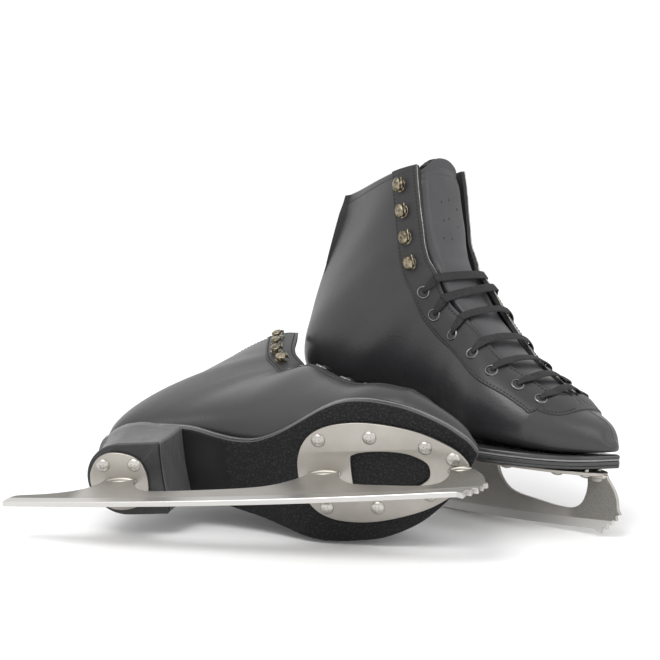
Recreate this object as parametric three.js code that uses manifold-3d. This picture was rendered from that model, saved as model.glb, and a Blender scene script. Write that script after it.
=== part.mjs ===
// A pair of figure skates: laced leather boots on two-stanchion steel blades.
// The right skate stands on its blade; the left skate lies on its outer side
// behind and beside it.  Millimetres, +Z up, origin at the centre of the foot
// of the pair's bounding box.
//
// Each skate is described in its own boot frame (left foot): x = 0 under the
// back of the heel and +x to the toe, +y to the outer side of the foot,
// z = 0 on the running edge.  The right skate is its mirror image.

import * as THREE from 'three';
import { mergeVertices } from 'three/addons/utils/BufferGeometryUtils.js';
import Module from 'manifold-3d';

// ---------------------------------------------------------------- dimensions
const GAP = 0.35;            // clearance left between touching pieces
const LEATHER = 2.2;         // upper leather thickness
const COUNTER_IN = 2.5;      // heel counter, from the outside of the boot
const COUNTER_OUT = 3.3;
const LINING_OUT = 3.6;      // lining, from the outside of the boot
const LINING_IN = 4.8;
const FACING_W = 24;         // width of the lacing facing
const OUTSOLE_T = 5.2;
const MIDSOLE_T = 4.2;
const PLATE_T = 2.5;         // mounting plates
const PLATE_FRONT_Z = 44.0;  // lower face of the front plate
const PLATE_HEEL_Z = 40.0;   // lower face of the heel plate
const HEEL_LIFT_T = 3.0;
const BLADE_T = 4.0;         // blade thickness
const SCREW_HEAD_R = 4.3;
const SCREW_SHANK_R = 1.9;
const SCREW_HOLE_R = 2.35;
const EYELET_R = 4.4;        // flange of an eyelet
const EYELET_BORE = 2.2;
const EYELETS = 7;
const HOOKS = 4;
const LACE_W = 6.0;          // flat lace
const LACE_T = 1.6;
const TONGUE_T = 5.0;
const TONGUE_TOP = 3;        // how far the tongue stands above the cuff
const TONGUE_PIVOT = [129, 0, 177];  // the tongue bends at the top laced row
const LEFT_TONGUE = 12;      // degrees the left tongue is pushed into its shaft

// Where each skate stands: position (mm) and yaw, pitch, roll (degrees).
const RIGHT_POSE = { p: [-18.7, 44.8, 0.6], a: [-39.9, 0.16, -7.45] };
const LEFT_POSE = { p: [-182.9, -167.4, 31.05], a: [-13.23, -4.42, -78.29] };
const SHIFT = [10.92, 74.06, 0];     // moves the pair's bounding-box foot to the origin

// ------------------------------------------------------------------ materials
const mat = (hex, rough, metal = 0) => new THREE.MeshStandardMaterial({ color: hex, roughness: rough, metalness: metal });
const M = {
  leather: mat(0x2b2b2e, 0.42), lining: mat(0x8f8a80, 0.85), counter: mat(0x6b5a45, 0.8),
  sole: mat(0x1b1b1d, 0.75), welt: mat(0x232326, 0.45), heel: mat(0x3a3b3e, 0.4), lift: mat(0x17181a, 0.6),
  steel: mat(0xb9b6ae, 0.28, 1), plate: mat(0xa9a59b, 0.32, 1), screw: mat(0xcfccc4, 0.25, 1),
  tongue: mat(0x26262a, 0.5), insole: mat(0xb8ad97, 0.9), facing: mat(0x2a2a2d, 0.45),
  brass: mat(0x7d6f4c, 0.4, 1), lace: mat(0x141416, 0.9),
};

// -------------------------------------------------------------------- helpers
const wasm = await Module();
wasm.setup();
const sub = (a, b) => [a[0] - b[0], a[1] - b[1], a[2] - b[2]];
const add = (a, b) => [a[0] + b[0], a[1] + b[1], a[2] + b[2]];
const mul = (a, k) => [a[0] * k, a[1] * k, a[2] * k];
const dot = (a, b) => a[0] * b[0] + a[1] * b[1] + a[2] * b[2];
const cross = (a, b) => [a[1] * b[2] - a[2] * b[1], a[2] * b[0] - a[0] * b[2], a[0] * b[1] - a[1] * b[0]];
const len = (a) => Math.hypot(a[0], a[1], a[2]);
const unit = (a) => mul(a, 1 / (len(a) || 1));
const lerp = (a, b, t) => a.map((v, i) => v + (b[i] - v) * t);
const along = (xs, ys, x) => {
  if (x <= xs[0]) return ys[0];
  for (let i = 1; i < xs.length; i++) if (x <= xs[i]) return ys[i - 1] + (ys[i] - ys[i - 1]) * (x - xs[i - 1]) / (xs[i] - xs[i - 1]);
  return ys[ys.length - 1];
};

// A closed mesh from points and triangles, faces turned outward.
function closed(points, tris) {
  let v = 0;
  for (const [a, b, c] of tris) v += dot(points[a], cross(points[b], points[c]));
  const idx = [];
  for (const t of tris) idx.push(...(v > 0 ? t : [t[0], t[2], t[1]]));
  const g = new THREE.BufferGeometry();
  g.setAttribute('position', new THREE.Float32BufferAttribute(points.flat(), 3));
  g.setIndex(idx);
  return g;
}
const plain = (g) => { const c = g.clone(); c.deleteAttribute('normal'); c.deleteAttribute('uv'); return mergeVertices(c, 1e-4); };
function solid(g) {
  const c = plain(g);
  return new wasm.Manifold(new wasm.Mesh({ numProp: 3, vertProperties: new Float32Array(c.attributes.position.array), triVerts: new Uint32Array(c.index.array) }));
}
function geometry(m) {
  const r = m.getMesh();
  const pos = new Float32Array(r.numVert * 3);
  for (let i = 0; i < r.numVert; i++) for (let k = 0; k < 3; k++) pos[i * 3 + k] = r.vertProperties[i * r.numProp + k];
  const g = new THREE.BufferGeometry();
  g.setAttribute('position', new THREE.BufferAttribute(pos, 3));
  g.setIndex(Array.from(r.triVerts));
  return g;
}
// A loft through loops of equal length, both ends closed by a fan.
function loft(loops) {
  const n = loops[0].length, pts = loops.flat(), tris = [];
  for (let i = 0; i < loops.length - 1; i++) for (let j = 0; j < n; j++) {
    const a = i * n + j, b = i * n + (j + 1) % n, c = a + n, d = b + n;
    tris.push([a, c, d], [a, d, b]);
  }
  const end = (base, flip) => { for (let j = 1; j < n - 1; j++) tris.push(flip ? [base, base + j + 1, base + j] : [base, base + j, base + j + 1]); };
  end(0, false); end((loops.length - 1) * n, true);
  return closed(pts, tris);
}

// --------------------------------------------------------------- the boot last
// Each station is one section of the boot.  B is its lowest or rearmost point,
// T its upper point: the ridge of the vamp on closed stations, the facing edge
// on open ones (half gap g).  wl, wm: half widths to the outer and inner side;
// yc: sideways shift; pb, pt: roundness below and above; k: height of the
// widest place.
const ST = [
  //  Bx    Bz     Tx    Tz    g     wl    wm    yc    pb   pt   k
  [280, 62.3, 276.7, 71.1, 0, 8.5, 6.2, -7.6, 0.7, 0.84, 1.05],
  [274.6, 60.9, 273, 79.1, 0, 15.5, 12.7, -7, 0.58, 0.89, 1.3],
  [264.9, 59.3, 266.8, 84.1, 0, 25.5, 22.1, -5.7, 0.52, 0.89, 1.35],
  [249.7, 57.9, 256.2, 89.7, 0, 37, 34, -3.6, 0.5, 0.89, 1.36],
  [234.2, 57.4, 243.2, 98.6, 0, 44.2, 42.9, -2.3, 0.5, 0.79, 1.26],
  [222.7, 57.4, 236.2, 99.1, 16.3, 47.8, 46.8, -1.8, 0.5, 0.69, 1.16],
  [200, 57.4, 216.9, 109.2, 21.2, 50.1, 49.4, -0.5, 0.5, 0.59, 1.07],
  [175.3, 57.8, 196.7, 120.4, 26, 48.4, 46.6, 0.5, 0.5, 0.5, 0.98],
  [150.1, 61.9, 176.1, 137.4, 25.7, 40.6, 44.1, -1.8, 0.5, 0.51, 0.89],
  [122.8, 72.9, 154.7, 153.7, 25.5, 31.2, 43.6, -4.1, 0.5, 0.53, 0.8],
  [89.3, 80.6, 139.5, 169, 26.3, 31.3, 39.4, -2.1, 0.48, 0.55, 0.99],
  [53.7, 83.6, 134.1, 182.6, 28.5, 34.8, 36.3, 0, 0.47, 0.54, 1.18],
  [23.3, 85.2, 125.7, 188.7, 32.5, 35.6, 36.7, 0, 0.54, 0.62, 1.14],
  [0.8, 92.2, 122.1, 196.3, 34.4, 36.6, 36.9, 0, 0.65, 0.73, 1.04],
  [-8, 112, 120.7, 211.5, 34.4, 37.4, 37, 0, 0.77, 0.84, 0.89],
  [-9.4, 138.8, 113.4, 224, 33.9, 35.6, 35.3, 0, 1.01, 0.87, 0.71],
  [-0.2, 176, 111.3, 242.5, 32.7, 34.1, 34.1, 0, 1.22, 0.9, 0.62],
  [8.1, 206.3, 108.6, 255.8, 31.3, 32.6, 32.9, 0, 1.3, 0.93, 0.6],
  [16, 235.5, 105.4, 269, 29.7, 30.9, 31.4, 0, 1.3, 0.97, 0.6],
];
const NS = ST.length, WELD = 4, HALF = 6, NC = 2 * HALF;
const section = (s, side, th) => {
  const [bx, bz, tx, tz, g, wl, wm, yc, pb, pt, k] = s;
  let ex = tx, ez = tz;
  if (g > 0) {
    const we = (th) => Math.pow((1 - Math.cos(th)) / 2, k), te = edgeAngle(s, side);
    const se = we(te);
    ex = bx + (tx - bx) / se; ez = bz + (tz - bz) / se;
  }
  const w = side > 0 ? wl : wm, p = th < Math.PI / 2 ? pb : pt;
  const q = Math.pow((1 - Math.cos(th)) / 2, k);
  return [bx + (ex - bx) * q, yc + side * w * Math.pow(Math.max(0, Math.sin(th)), p), bz + (ez - bz) * q];
};
function edgeAngle(s, side) {
  const g = s[4], w = side > 0 ? s[5] : s[6];
  return g > 0 ? Math.PI - Math.asin(Math.pow(g / w, 1 / s[9])) : Math.PI;
}
// Columns 0..NC run from the inner facing edge, round the sole, to the outer one.
const GRID = ST.map((s) => {
  const row = new Array(NC + 1);
  for (const side of [1, -1]) {
    const te = edgeAngle(s, side), pe = section(s, side, te);
    let ts = te;
    const want = Math.min(FACING_W, 0.9 * (side > 0 ? s[5] : s[6]));
    while (ts > 0.3 && len(sub(section(s, side, ts), pe)) < want) ts -= 0.004;
    for (let j = 0; j <= HALF; j++) {
      const th = j === HALF ? te : ts * j / (HALF - 1);
      row[HALF + side * j] = section(s, side, th);
    }
  }
  return row;
});
const wrap = (i, c) => (i <= WELD && c > NC ? GRID[i][c - NC] : i <= WELD && c < 0 ? GRID[i][c + NC] : GRID[i][Math.min(NC, Math.max(0, c))]);
const NORMAL = GRID.map((row, i) => row.map((p, c) => {
  const du = sub(GRID[Math.min(NS - 1, i + 1)][c], GRID[Math.max(0, i - 1)][c]);
  const dv = sub(wrap(i, c + 1), wrap(i, c - 1));
  let n = unit(cross(du, dv));
  const mid = mul(add(ST[i].slice(0, 1).concat(0, ST[i][1]), [ST[i][2], 0, ST[i][3]]), 0.5);
  if (dot(n, sub(p, mid)) < 0) n = mul(n, -1);
  return n;
}));
const at = (i, c, d) => add(GRID[i][c], mul(NORMAL[i][c], d));

// The whole boot as a shell between two offsets, open at the cuff and lacing.
function bootShell(dOut, dIn, iOut, iIn) {
  const pts = [], tris = [], id = new Map();
  const v = (layer, i, c) => {
    if (i <= WELD && c === NC) c = 0;
    const key = `${layer},${i},${c}`;
    if (!id.has(key)) { id.set(key, pts.length); pts.push(at(i, c, layer ? dIn : dOut)); }
    return id.get(key);
  };
  const quad = (a, b, c, d) => tris.push([a, b, c], [a, c, d]);
  const O = (i, c) => v(0, i, c), I = (i, c) => v(1, i, c), last = NS - 1;
  for (let i = iOut; i < last; i++) for (let c = 0; c < NC; c++) quad(O(i, c), O(i + 1, c), O(i + 1, c + 1), O(i, c + 1));
  for (let i = iIn; i < last; i++) for (let c = 0; c < NC; c++) quad(I(i, c), I(i, c + 1), I(i + 1, c + 1), I(i + 1, c));
  for (let c = 0; c < NC; c++) quad(O(last, c + 1), O(last, c), I(last, c), I(last, c + 1));
  for (let i = WELD; i < last; i++) {
    quad(O(i + 1, 0), O(i, 0), I(i, 0), I(i + 1, 0));
    quad(O(i, NC), O(i + 1, NC), I(i + 1, NC), I(i, NC));
  }
  const cap = (f, i, flip) => {
    let m = [0, 0, 0];
    for (let c = 0; c < NC; c++) m = add(m, mul(pts[f(i, c)], 1 / NC));
    const k = pts.push(m) - 1;
    for (let c = 0; c < NC; c++) tris.push(flip ? [f(i, c + 1), f(i, c), k] : [f(i, c), f(i, c + 1), k]);
  };
  cap(O, iOut, false); cap(I, iIn, true);
  return closed(pts, tris);
}
// A patch of the boot's surface between two offsets.
function patch(i0, i1, c0, c1, dOut, dIn) {
  const pts = [], tris = [], w = c1 - c0 + 1, h = i1 - i0 + 1;
  for (const d of [dOut, dIn]) for (let i = i0; i <= i1; i++) for (let c = c0; c <= c1; c++) pts.push(at(i, c, d));
  const O = (i, c) => (i - i0) * w + (c - c0), I = (i, c) => O(i, c) + w * h;
  const quad = (a, b, c, d) => tris.push([a, b, c], [a, c, d]);
  for (let i = i0; i < i1; i++) for (let c = c0; c < c1; c++) {
    quad(O(i, c), O(i + 1, c), O(i + 1, c + 1), O(i, c + 1));
    quad(I(i, c), I(i, c + 1), I(i + 1, c + 1), I(i + 1, c));
  }
  for (let c = c0; c < c1; c++) { quad(O(i1, c + 1), O(i1, c), I(i1, c), I(i1, c + 1)); quad(O(i0, c), O(i0, c + 1), I(i0, c + 1), I(i0, c)); }
  for (let i = i0; i < i1; i++) { quad(O(i + 1, c0), O(i, c0), I(i, c0), I(i + 1, c0)); quad(O(i, c1), O(i + 1, c1), I(i + 1, c1), I(i, c1)); }
  return closed(pts, tris);
}

// --------------------------------------------------------------------- soles
// Lower face of the outsole along the boot, and the outline of the sole.
const SOLE_X = [-2, 30, 60, 75, 90, 105, 120, 135, 150, 160, 170, 245, 262, 275, 286];
const SOLE_Z = [74, 73.5, 72.5, 71.5, 69.5, 66.5, 62.5, 56.5, 50.5, 48, 47, 47, 47.6, 49, 51];
const soleZ = (x) => along(SOLE_X, SOLE_Z, x);
const OUTLINE = [ // x, outer y, inner y
  [-1, 9, -9], [4, 17, -17], [13, 24, -24], [29, 28, -28], [52, 28.5, -27.5], [72, 30.5, -25.5], [90, 33.5, -20.5], [105, 37.5, -17.8],
  [120, 41, -18.5], [135, 45, -24], [150, 49.4, -32], [163, 52.2, -39.5], [178, 53.4, -47.3], [192.9, 53.2, -52], [209.2, 51.8, -52.3], [225.5, 46.5, -49],
  [239.8, 39.5, -44.3], [253.2, 29.5, -37.5], [263.8, 19.5, -30.8], [272.4, 8, -23.5], [277.7, 0, -18], [281.5, -6, -12],
];
const slab = (d0, d1, inset, x0 = -9, x1 = 999) => {
  const rows = OUTLINE.filter((o) => o[0] >= x0 && o[0] <= x1);
  return loft(rows.map(([x, yl, ym]) => {
    const z = soleZ(x);
    return [[x, ym + inset, z + d0], [x, yl - inset, z + d0], [x, yl - inset, z + d1], [x, ym + inset, z + d1]];
  }));
};
const outsole = () => slab(0, OUTSOLE_T, 0);
const midsole = () => slab(OUTSOLE_T + GAP, OUTSOLE_T + GAP + MIDSOLE_T, 0.8);
// The footbed rests on the lining, inside the boot.
function insole() {
  const rows = [[16, 9], [24, 12], [38, 14], [62, 14.5], [90, 13], [118, 11], [146, 13], [170, 21], [200, 27], [224, 25], [238, 18], [247, 12]];
  return loft(rows.map(([x, w]) => {
    const z = soleZ(x) + 19.9 + along([16, 70, 200], [6, 5, 1.2], x), y = along([0, 200, 240, 270], [0, 0, -2.5, -6], x);
    return [[x, y - w, z], [x, y + w, z], [x, y + w, z + 2.4], [x, y - w, z + 2.4]];
  }));
}
// The heel is a block that tapers a little; its breast is straight.
function heelLoop(z, front, half, back, topFollowsSole = false) {
  const loop = [], n = 10;
  for (let i = 0; i <= n; i++) {
    const a = Math.PI / 2 + Math.PI * i / n;
    loop.push([back + 27 + 27 * Math.cos(a), half * Math.sin(a)]);
  }
  loop.push([front, -(half - 1)], [front - 1.5, 0], [front, half - 1]);
  return loop.map(([x, y]) => [x, y, topFollowsSole ? soleZ(x) - GAP : z]);
}
const LIFT_Z = PLATE_HEEL_Z + PLATE_T + GAP;
const heelBlock = () => loft([heelLoop(LIFT_Z + HEEL_LIFT_T + GAP, 57.5, 27.2, -0.5), heelLoop(60, 62, 27.0, 0.6), heelLoop(0, 66, 28.0, -0.5, true)]);
const heelLift = () => loft([heelLoop(LIFT_Z, 57, 27.4, -0.8), heelLoop(LIFT_Z + HEEL_LIFT_T, 57.3, 27.4, -0.8)]);

// ------------------------------------------------------------ blade and plates
const rocker = (x) => (x - 115) * (x - 115) / 4400;
function blade() {
  const s = new THREE.Shape();
  const p = [[-52, rocker(-52)]];
  for (let x = -30; x <= 270; x += 25) p.push([x, rocker(x)]);
  p.push([273.5, 5.4], [278, 2.9], [279.8, 8.2], [283.2, 6.6], [284, 11.2], [287.6, 10.0], [287.6, 14.4], [290.6, 13.9], [289.8, 17.6], [293.1, 18.7],
    [290.6, 22.5], [289.4, 29], [286, 36], [281.5, 41.5], [279.5, 43.6],                     // front of the toe stanchion
    [263.4, 43.6], [264.6, 38], [264.0, 30], [260.5, 22], [253, 17.5], [240, 17.4], [222, 19.3], [206, 21.4], [197, 24.5], [190, 31], [186.5, 38], [185.6, 43.6], // window
    [164.2, 43.6], [161, 38], [154, 31], [143, 24.5], [128, 20.6], [100, 18.6], [60, 18.2], [48, 20.5], [41, 27], [37.6, 34], [36.6, 39.6],
    [13.6, 39.6], [11, 33], [4, 26], [-8, 21], [-24, 18], [-43, 16.9], [-48, 14.5]);
  s.setFromPoints(p.map(([x, z]) => new THREE.Vector2(x, z)));
  const g = new THREE.ExtrudeGeometry(s, { depth: BLADE_T, bevelEnabled: false, curveSegments: 1 });
  g.rotateX(Math.PI / 2); g.translate(0, BLADE_T / 2, 0);
  return g;
}
const FRONT_HALF = [[156, 5], [157.2, 13], [161, 22], [168, 30], [179, 35.3], [194, 37.6], [211, 37], [232, 32.8], [248, 27.4], [262, 19.8], [271, 13.2], [276, 6.5], [277.2, 2]];
const HEEL_HALF = [[2.4, 2.5], [4, 9], [9.5, 17.3], [18, 22], [28, 22], [37, 19.2], [42.5, 14.5], [45, 8], [45.8, 2.5]];
const FRONT_HOLE = [[194.6, 10], [197.5, 14], [206, 15.6], [219, 15.6], [232, 14], [242, 10.2], [248.8, 4.5]];
const both = (half) => half.map(([x, y]) => new THREE.Vector2(x, y)).concat(half.slice().reverse().map(([x, y]) => new THREE.Vector2(x, -y)));
function plateGeometry(half, hole, z) {
  const s = new THREE.Shape(both(half));
  if (hole) s.holes.push(new THREE.Path(both(hole).reverse()));
  const g = new THREE.ExtrudeGeometry(s, { depth: PLATE_T, bevelEnabled: false, curveSegments: 1 });
  g.translate(0, 0, z);
  return g;
}
const FRONT_SCREWS = [[173.5, 25.6], [210, 26.4], [248, 17.6], [266.5, 8.6]];
const HEEL_SCREWS = [[14, 13], [37.5, 12.6]];
const screwSpots = [];
for (const [x, y] of FRONT_SCREWS) for (const s of [1, -1]) screwSpots.push([x, y * s, PLATE_FRONT_Z, 'front']);
for (const [x, y] of HEEL_SCREWS) for (const s of [1, -1]) screwSpots.push([x, y * s, PLATE_HEEL_Z, 'heel']);
function screwGeometry() {
  const L = 8.2, prof = [[0, -2.3], [2.6, -1.9], [SCREW_HEAD_R, -GAP], [SCREW_SHANK_R, -GAP], [SCREW_SHANK_R, L - 3], [0, L]];
  const g = new THREE.LatheGeometry(prof.map(([r, z]) => new THREE.Vector2(r, z)), 6);
  g.rotateX(Math.PI / 2);
  return g;
}
function drill(body, where) {
  let m = solid(body);
  for (const [x, y, z, w] of screwSpots) if (w === where) {
    const c = new THREE.CylinderGeometry(SCREW_HOLE_R, SCREW_HOLE_R, 14, 6);
    c.rotateX(Math.PI / 2); c.translate(x, y, z + 3);
    m = m.subtract(solid(c));
  }
  return geometry(m);
}

// -------------------------------------------------------- facing, eyelets, hooks
// A point on the facing: u counts stations along it, f is 0 at the facing edge
// and 1 at its rear seam.
function facingPoint(side, u, f) {
  const i = Math.min(NS - 2, Math.floor(u)), t = u - i;
  const e = side > 0 ? NC : 0, r = side > 0 ? NC - 1 : 1;
  const row = (i) => lerp(GRID[i][e], GRID[i][r], f);
  const nrm = (i) => unit(add(mul(NORMAL[i][e], 1 - f), mul(NORMAL[i][r], f)));
  const a = row(i), b = row(i + 1);
  return { p: lerp(a, b, t), n: unit(lerp(nrm(i), nrm(i + 1), t)), t: unit(sub(b, a)) };
}
// Even spacing along the facing between two stations.
function spaced(side, u0, u1, n, f) {
  const us = [], pts = [];
  for (let k = 0; k <= 400; k++) { us.push(u0 + (u1 - u0) * k / 400); pts.push(facingPoint(side, us[k], f).p); }
  const d = [0];
  for (let k = 1; k <= 400; k++) d.push(d[k - 1] + len(sub(pts[k], pts[k - 1])));
  return Array.from({ length: n }, (_, j) => facingPoint(side, along(d, us, d[400] * j / (n - 1)), f));
}
const place = (g, f, lift) => {
  const x = unit(cross(f.t, f.n)), m = new THREE.Matrix4();
  m.makeBasis(new THREE.Vector3(...f.t), new THREE.Vector3(...f.n), new THREE.Vector3(...x));
  m.setPosition(...add(f.p, mul(f.n, lift)));
  return g.clone().applyMatrix4(m);
};
const EYE_U = [5.12, 10.85], HOOK_U = [12.6, 16.75], EYE_F = 0.62;
function eyeletRow(side) {
  const c0 = side > 0 ? NC - 1 : 0;
  let m = solid(patch(5, 11, c0, c0 + 1, 2.1, 0.5));
  const spots = spaced(side, EYE_U[0], EYE_U[1], EYELETS, EYE_F), lift = side > 0 ? 2.25 : 1.7;
  for (const f of spots) m = m.add(solid(place(new THREE.CylinderGeometry(EYELET_R - 0.6, EYELET_R, 1.3, 6), f, lift)));
  for (const f of spots) m = m.subtract(solid(place(new THREE.CylinderGeometry(EYELET_BORE, EYELET_BORE, 0.9, 4), f, lift + 0.6)));
  return geometry(m);
}
function hookRow(side) {
  const c0 = side > 0 ? NC - 1 : 0;
  let m = solid(patch(12, NS - 1, c0, c0 + 1, 1.2, 0.5));
  for (const f of spaced(side, HOOK_U[0], HOOK_U[1], HOOKS, EYE_F)) {
    m = m.add(solid(place(new THREE.CylinderGeometry(2.4, 3.4, 4.2, 5), f, 3.0)));
    m = m.add(solid(place(new THREE.BoxGeometry(5.4, 1.4, 10), f, 5.4)));
  }
  return geometry(m);
}

// ------------------------------------------------------------------ the tongue
// Half section of the tongue at a station: it fills the gap between the
// facings, and below the ankle its edges lie under the lining.
function tongueLoop(i, tuck, top = 0) {
  const e1 = GRID[i][NC], e0 = GRID[i][0], n2 = unit([NORMAL[i][NC][0] + NORMAL[i][0][0], 0, NORMAL[i][NC][2] + NORMAL[i][0][2]]);
  const dir = unit([ST[i][2] - ST[i][0], 0, ST[i][3] - ST[i][1]]);
  const out = tuck ? n2 : unit([dir[0], 0, dir[2] * 0.4]);
  const mid = mul(add(e1, e0), 0.5), g = (e1[1] - e0[1]) / 2 - (tuck ? 4.3 : 6.2);
  const up = [0, 0, top];
  const p = (y, h) => add(add([mid[0], mid[1] + y, mid[2]], mul(out, h)), up);
  const side = (s) => {
    const c = s > 0 ? NC : 0, r = s > 0 ? NC - 1 : 1;
    const a = at(i, c, -LINING_IN - 2.6), b = lerp(a, at(i, r, -LINING_IN - 2.6), 0.55);
    const da = mul(NORMAL[i][c], -2.2), db = mul(NORMAL[i][r], -2.2);
    return { a, b, a2: add(a, da), b2: add(b, db) };
  };
  if (tuck) {
    const L = side(1), R = side(-1);
    return [p(0, 1.6), p(g * 0.7, 0.2), p(g, -2.2), L.a, L.b, L.b2, L.a2, p(0, 1.6 - TONGUE_T - 2.5), R.a2, R.b2, R.b, R.a, p(-g, -2.2), p(-g * 0.7, 0.2)];
  }
  const b = along([11, 13, 18], [3, 4, 1], i);          // how far the middle bulges forward
  return [p(0, b), p(g * 0.5, b * 0.8), p(g * 0.82, b * 0.35), p(g * 0.97, -2.5), p(g, -6), p(g * 0.97, -9), p(g * 0.8, b * 0.35 - 6.5), p(0, b - TONGUE_T - 0.5),
    p(-g * 0.8, b * 0.35 - 6.5), p(-g * 0.97, -9), p(-g, -6), p(-g * 0.97, -2.5), p(-g * 0.82, b * 0.35), p(-g * 0.5, b * 0.8)];
}
const tongueLower = () => loft([5, 6, 7, 8, 9, 10].map((i) => tongueLoop(i, true)));
const tongueUpper = (back) => {
  const g = loft([12, 13, 14, 15, 16, 17, 18].map((i) => tongueLoop(i, false)).concat([tongueLoop(18, false, TONGUE_TOP)]));
  const [x, y, z] = TONGUE_PIVOT;
  g.translate(-x, -y, -z); g.rotateY(-back * Math.PI / 180); g.translate(x, y, z);
  return g;
};

// -------------------------------------------------------------------- the lace
// Straight bars from eyelet to eyelet, joined down the middle.
function lace() {
  const A = spaced(1, EYE_U[0], EYE_U[1], EYELETS, EYE_F), B = spaced(-1, EYE_U[0], EYE_U[1], EYELETS, EYE_F);
  let m = null;
  const mids = [];
  for (let k = 0; k < EYELETS; k++) {
    const t = unit(add(A[k].t, B[k].t));
    const ue = (side, f) => spaced(side, EYE_U[0], EYE_U[1], EYELETS, f)[k];
    const ea = ue(1, 0), eb = ue(-1, 0), h = 5.2;
    const mid = add(mul(add(ea.p, eb.p), 0.5), mul(unit([ea.n[0] + eb.n[0], 0, ea.n[2] + eb.n[2]]), h + 2.0));
    mids.push({ p: mid, n: unit([ea.n[0] + eb.n[0], 0, ea.n[2] + eb.n[2]]), t });
    const q = [[A[k].p, A[k].n], [ea.p, ea.n], null, [eb.p, eb.n], [B[k].p, B[k].n]].map((e) => (e ? [add(e[0], mul(e[1], h)), e[1]] : [mid, mids[k].n]));
    const loops = q.map(([p, n]) => [[-LACE_W / 2, -LACE_T / 2], [LACE_W / 2, -LACE_T / 2], [LACE_W / 2, LACE_T / 2], [-LACE_W / 2, LACE_T / 2]]
      .map(([a, b]) => add(add(p, mul(t, a)), mul(n, b))));
    const bar = solid(loft(loops));
    m = m ? m.add(bar) : bar;
  }
  m = m.add(solid(loft(mids.map(({ p, n }) => [[-1.6, -0.5], [1.6, -0.5], [1.6, 0.5], [-1.6, 0.5]].map(([y, h]) => add(add(p, [0, y, 0]), mul(n, h)))))));
  return geometry(m);
}

// -------------------------------------------------------------------- assembly
function skate(side, mirror, tongueBack) {
  const g = new THREE.Group();
  const put = (name, geo, m) => { const mesh = new THREE.Mesh(geo, m); mesh.name = `${side}_${name}`; g.add(mesh); };
  put('upper', bootShell(0, -LEATHER, 0, 1), M.leather);
  put('lining', bootShell(-LINING_OUT, -LINING_IN, 2, 3), M.lining);
  put('heel_counter', patch(11, 15, 3, NC - 3, -COUNTER_IN, -COUNTER_OUT), M.counter);
  put('insole', insole(), M.insole);
  put('tongue_lower', tongueLower(), M.tongue);
  put('tongue_upper', tongueUpper(tongueBack), M.tongue);
  put('outsole', drill(outsole(), 'front'), M.sole);
  put('midsole', midsole(), M.welt);
  put('heel_block', drill(heelBlock(), 'heel'), M.heel);
  put('heel_lift', drill(heelLift(), 'heel'), M.lift);
  put('blade', blade(), M.steel);
  put('front_plate', drill(plateGeometry(FRONT_HALF, FRONT_HOLE, PLATE_FRONT_Z), 'front'), M.plate);
  put('heel_plate', drill(plateGeometry(HEEL_HALF, null, PLATE_HEEL_Z), 'heel'), M.plate);
  put('eyelet_row_outer', eyeletRow(1), M.facing);
  put('eyelet_row_inner', eyeletRow(-1), M.facing);
  put('hook_row_outer', hookRow(1), M.brass);
  put('hook_row_inner', hookRow(-1), M.brass);
  put('lace', lace(), M.lace);
  screwSpots.forEach(([x, y, z, w], k) => {
    const mesh = new THREE.Mesh(screwGeometry(), M.screw);
    const n = w === 'front' ? k + 1 : k + 1 - 2 * FRONT_SCREWS.length;
    mesh.name = `${side}_${w}_screw_${n}`;
    mesh.position.set(x, y, z);
    g.add(mesh);
  });
  if (mirror) g.scale.y = -1;
  return g;
}
function posed(inner, pose) {
  const g = new THREE.Group();
  const [yaw, pitch, roll] = pose.a.map((d) => d * Math.PI / 180);
  g.rotation.set(roll, pitch, yaw, 'ZYX');
  g.position.set(...add(pose.p, SHIFT));
  g.add(inner);
  return g;
}
const group = new THREE.Group();
group.add(posed(skate('left', false, LEFT_TONGUE), LEFT_POSE));
group.add(posed(skate('right', true, 0), RIGHT_POSE));

export default group;
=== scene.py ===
import bpy, math
import numpy as np
from mathutils import Matrix, Vector

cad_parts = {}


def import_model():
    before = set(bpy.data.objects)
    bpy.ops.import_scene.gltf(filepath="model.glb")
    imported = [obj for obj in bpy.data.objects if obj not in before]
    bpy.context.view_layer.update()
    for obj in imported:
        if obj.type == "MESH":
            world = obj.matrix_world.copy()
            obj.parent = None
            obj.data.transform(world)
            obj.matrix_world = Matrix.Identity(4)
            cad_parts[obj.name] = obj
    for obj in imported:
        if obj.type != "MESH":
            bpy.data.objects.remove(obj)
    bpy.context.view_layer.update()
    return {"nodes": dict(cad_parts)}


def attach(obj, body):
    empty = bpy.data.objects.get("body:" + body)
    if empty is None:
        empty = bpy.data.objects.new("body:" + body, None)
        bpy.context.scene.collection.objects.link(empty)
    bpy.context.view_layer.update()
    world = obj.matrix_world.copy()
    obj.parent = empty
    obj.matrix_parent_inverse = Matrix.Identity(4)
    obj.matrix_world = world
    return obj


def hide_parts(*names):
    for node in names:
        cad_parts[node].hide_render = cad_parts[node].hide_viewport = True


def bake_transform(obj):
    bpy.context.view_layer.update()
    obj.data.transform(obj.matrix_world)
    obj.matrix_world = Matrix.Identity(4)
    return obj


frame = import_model()
rng = np.random.default_rng(7)

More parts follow.
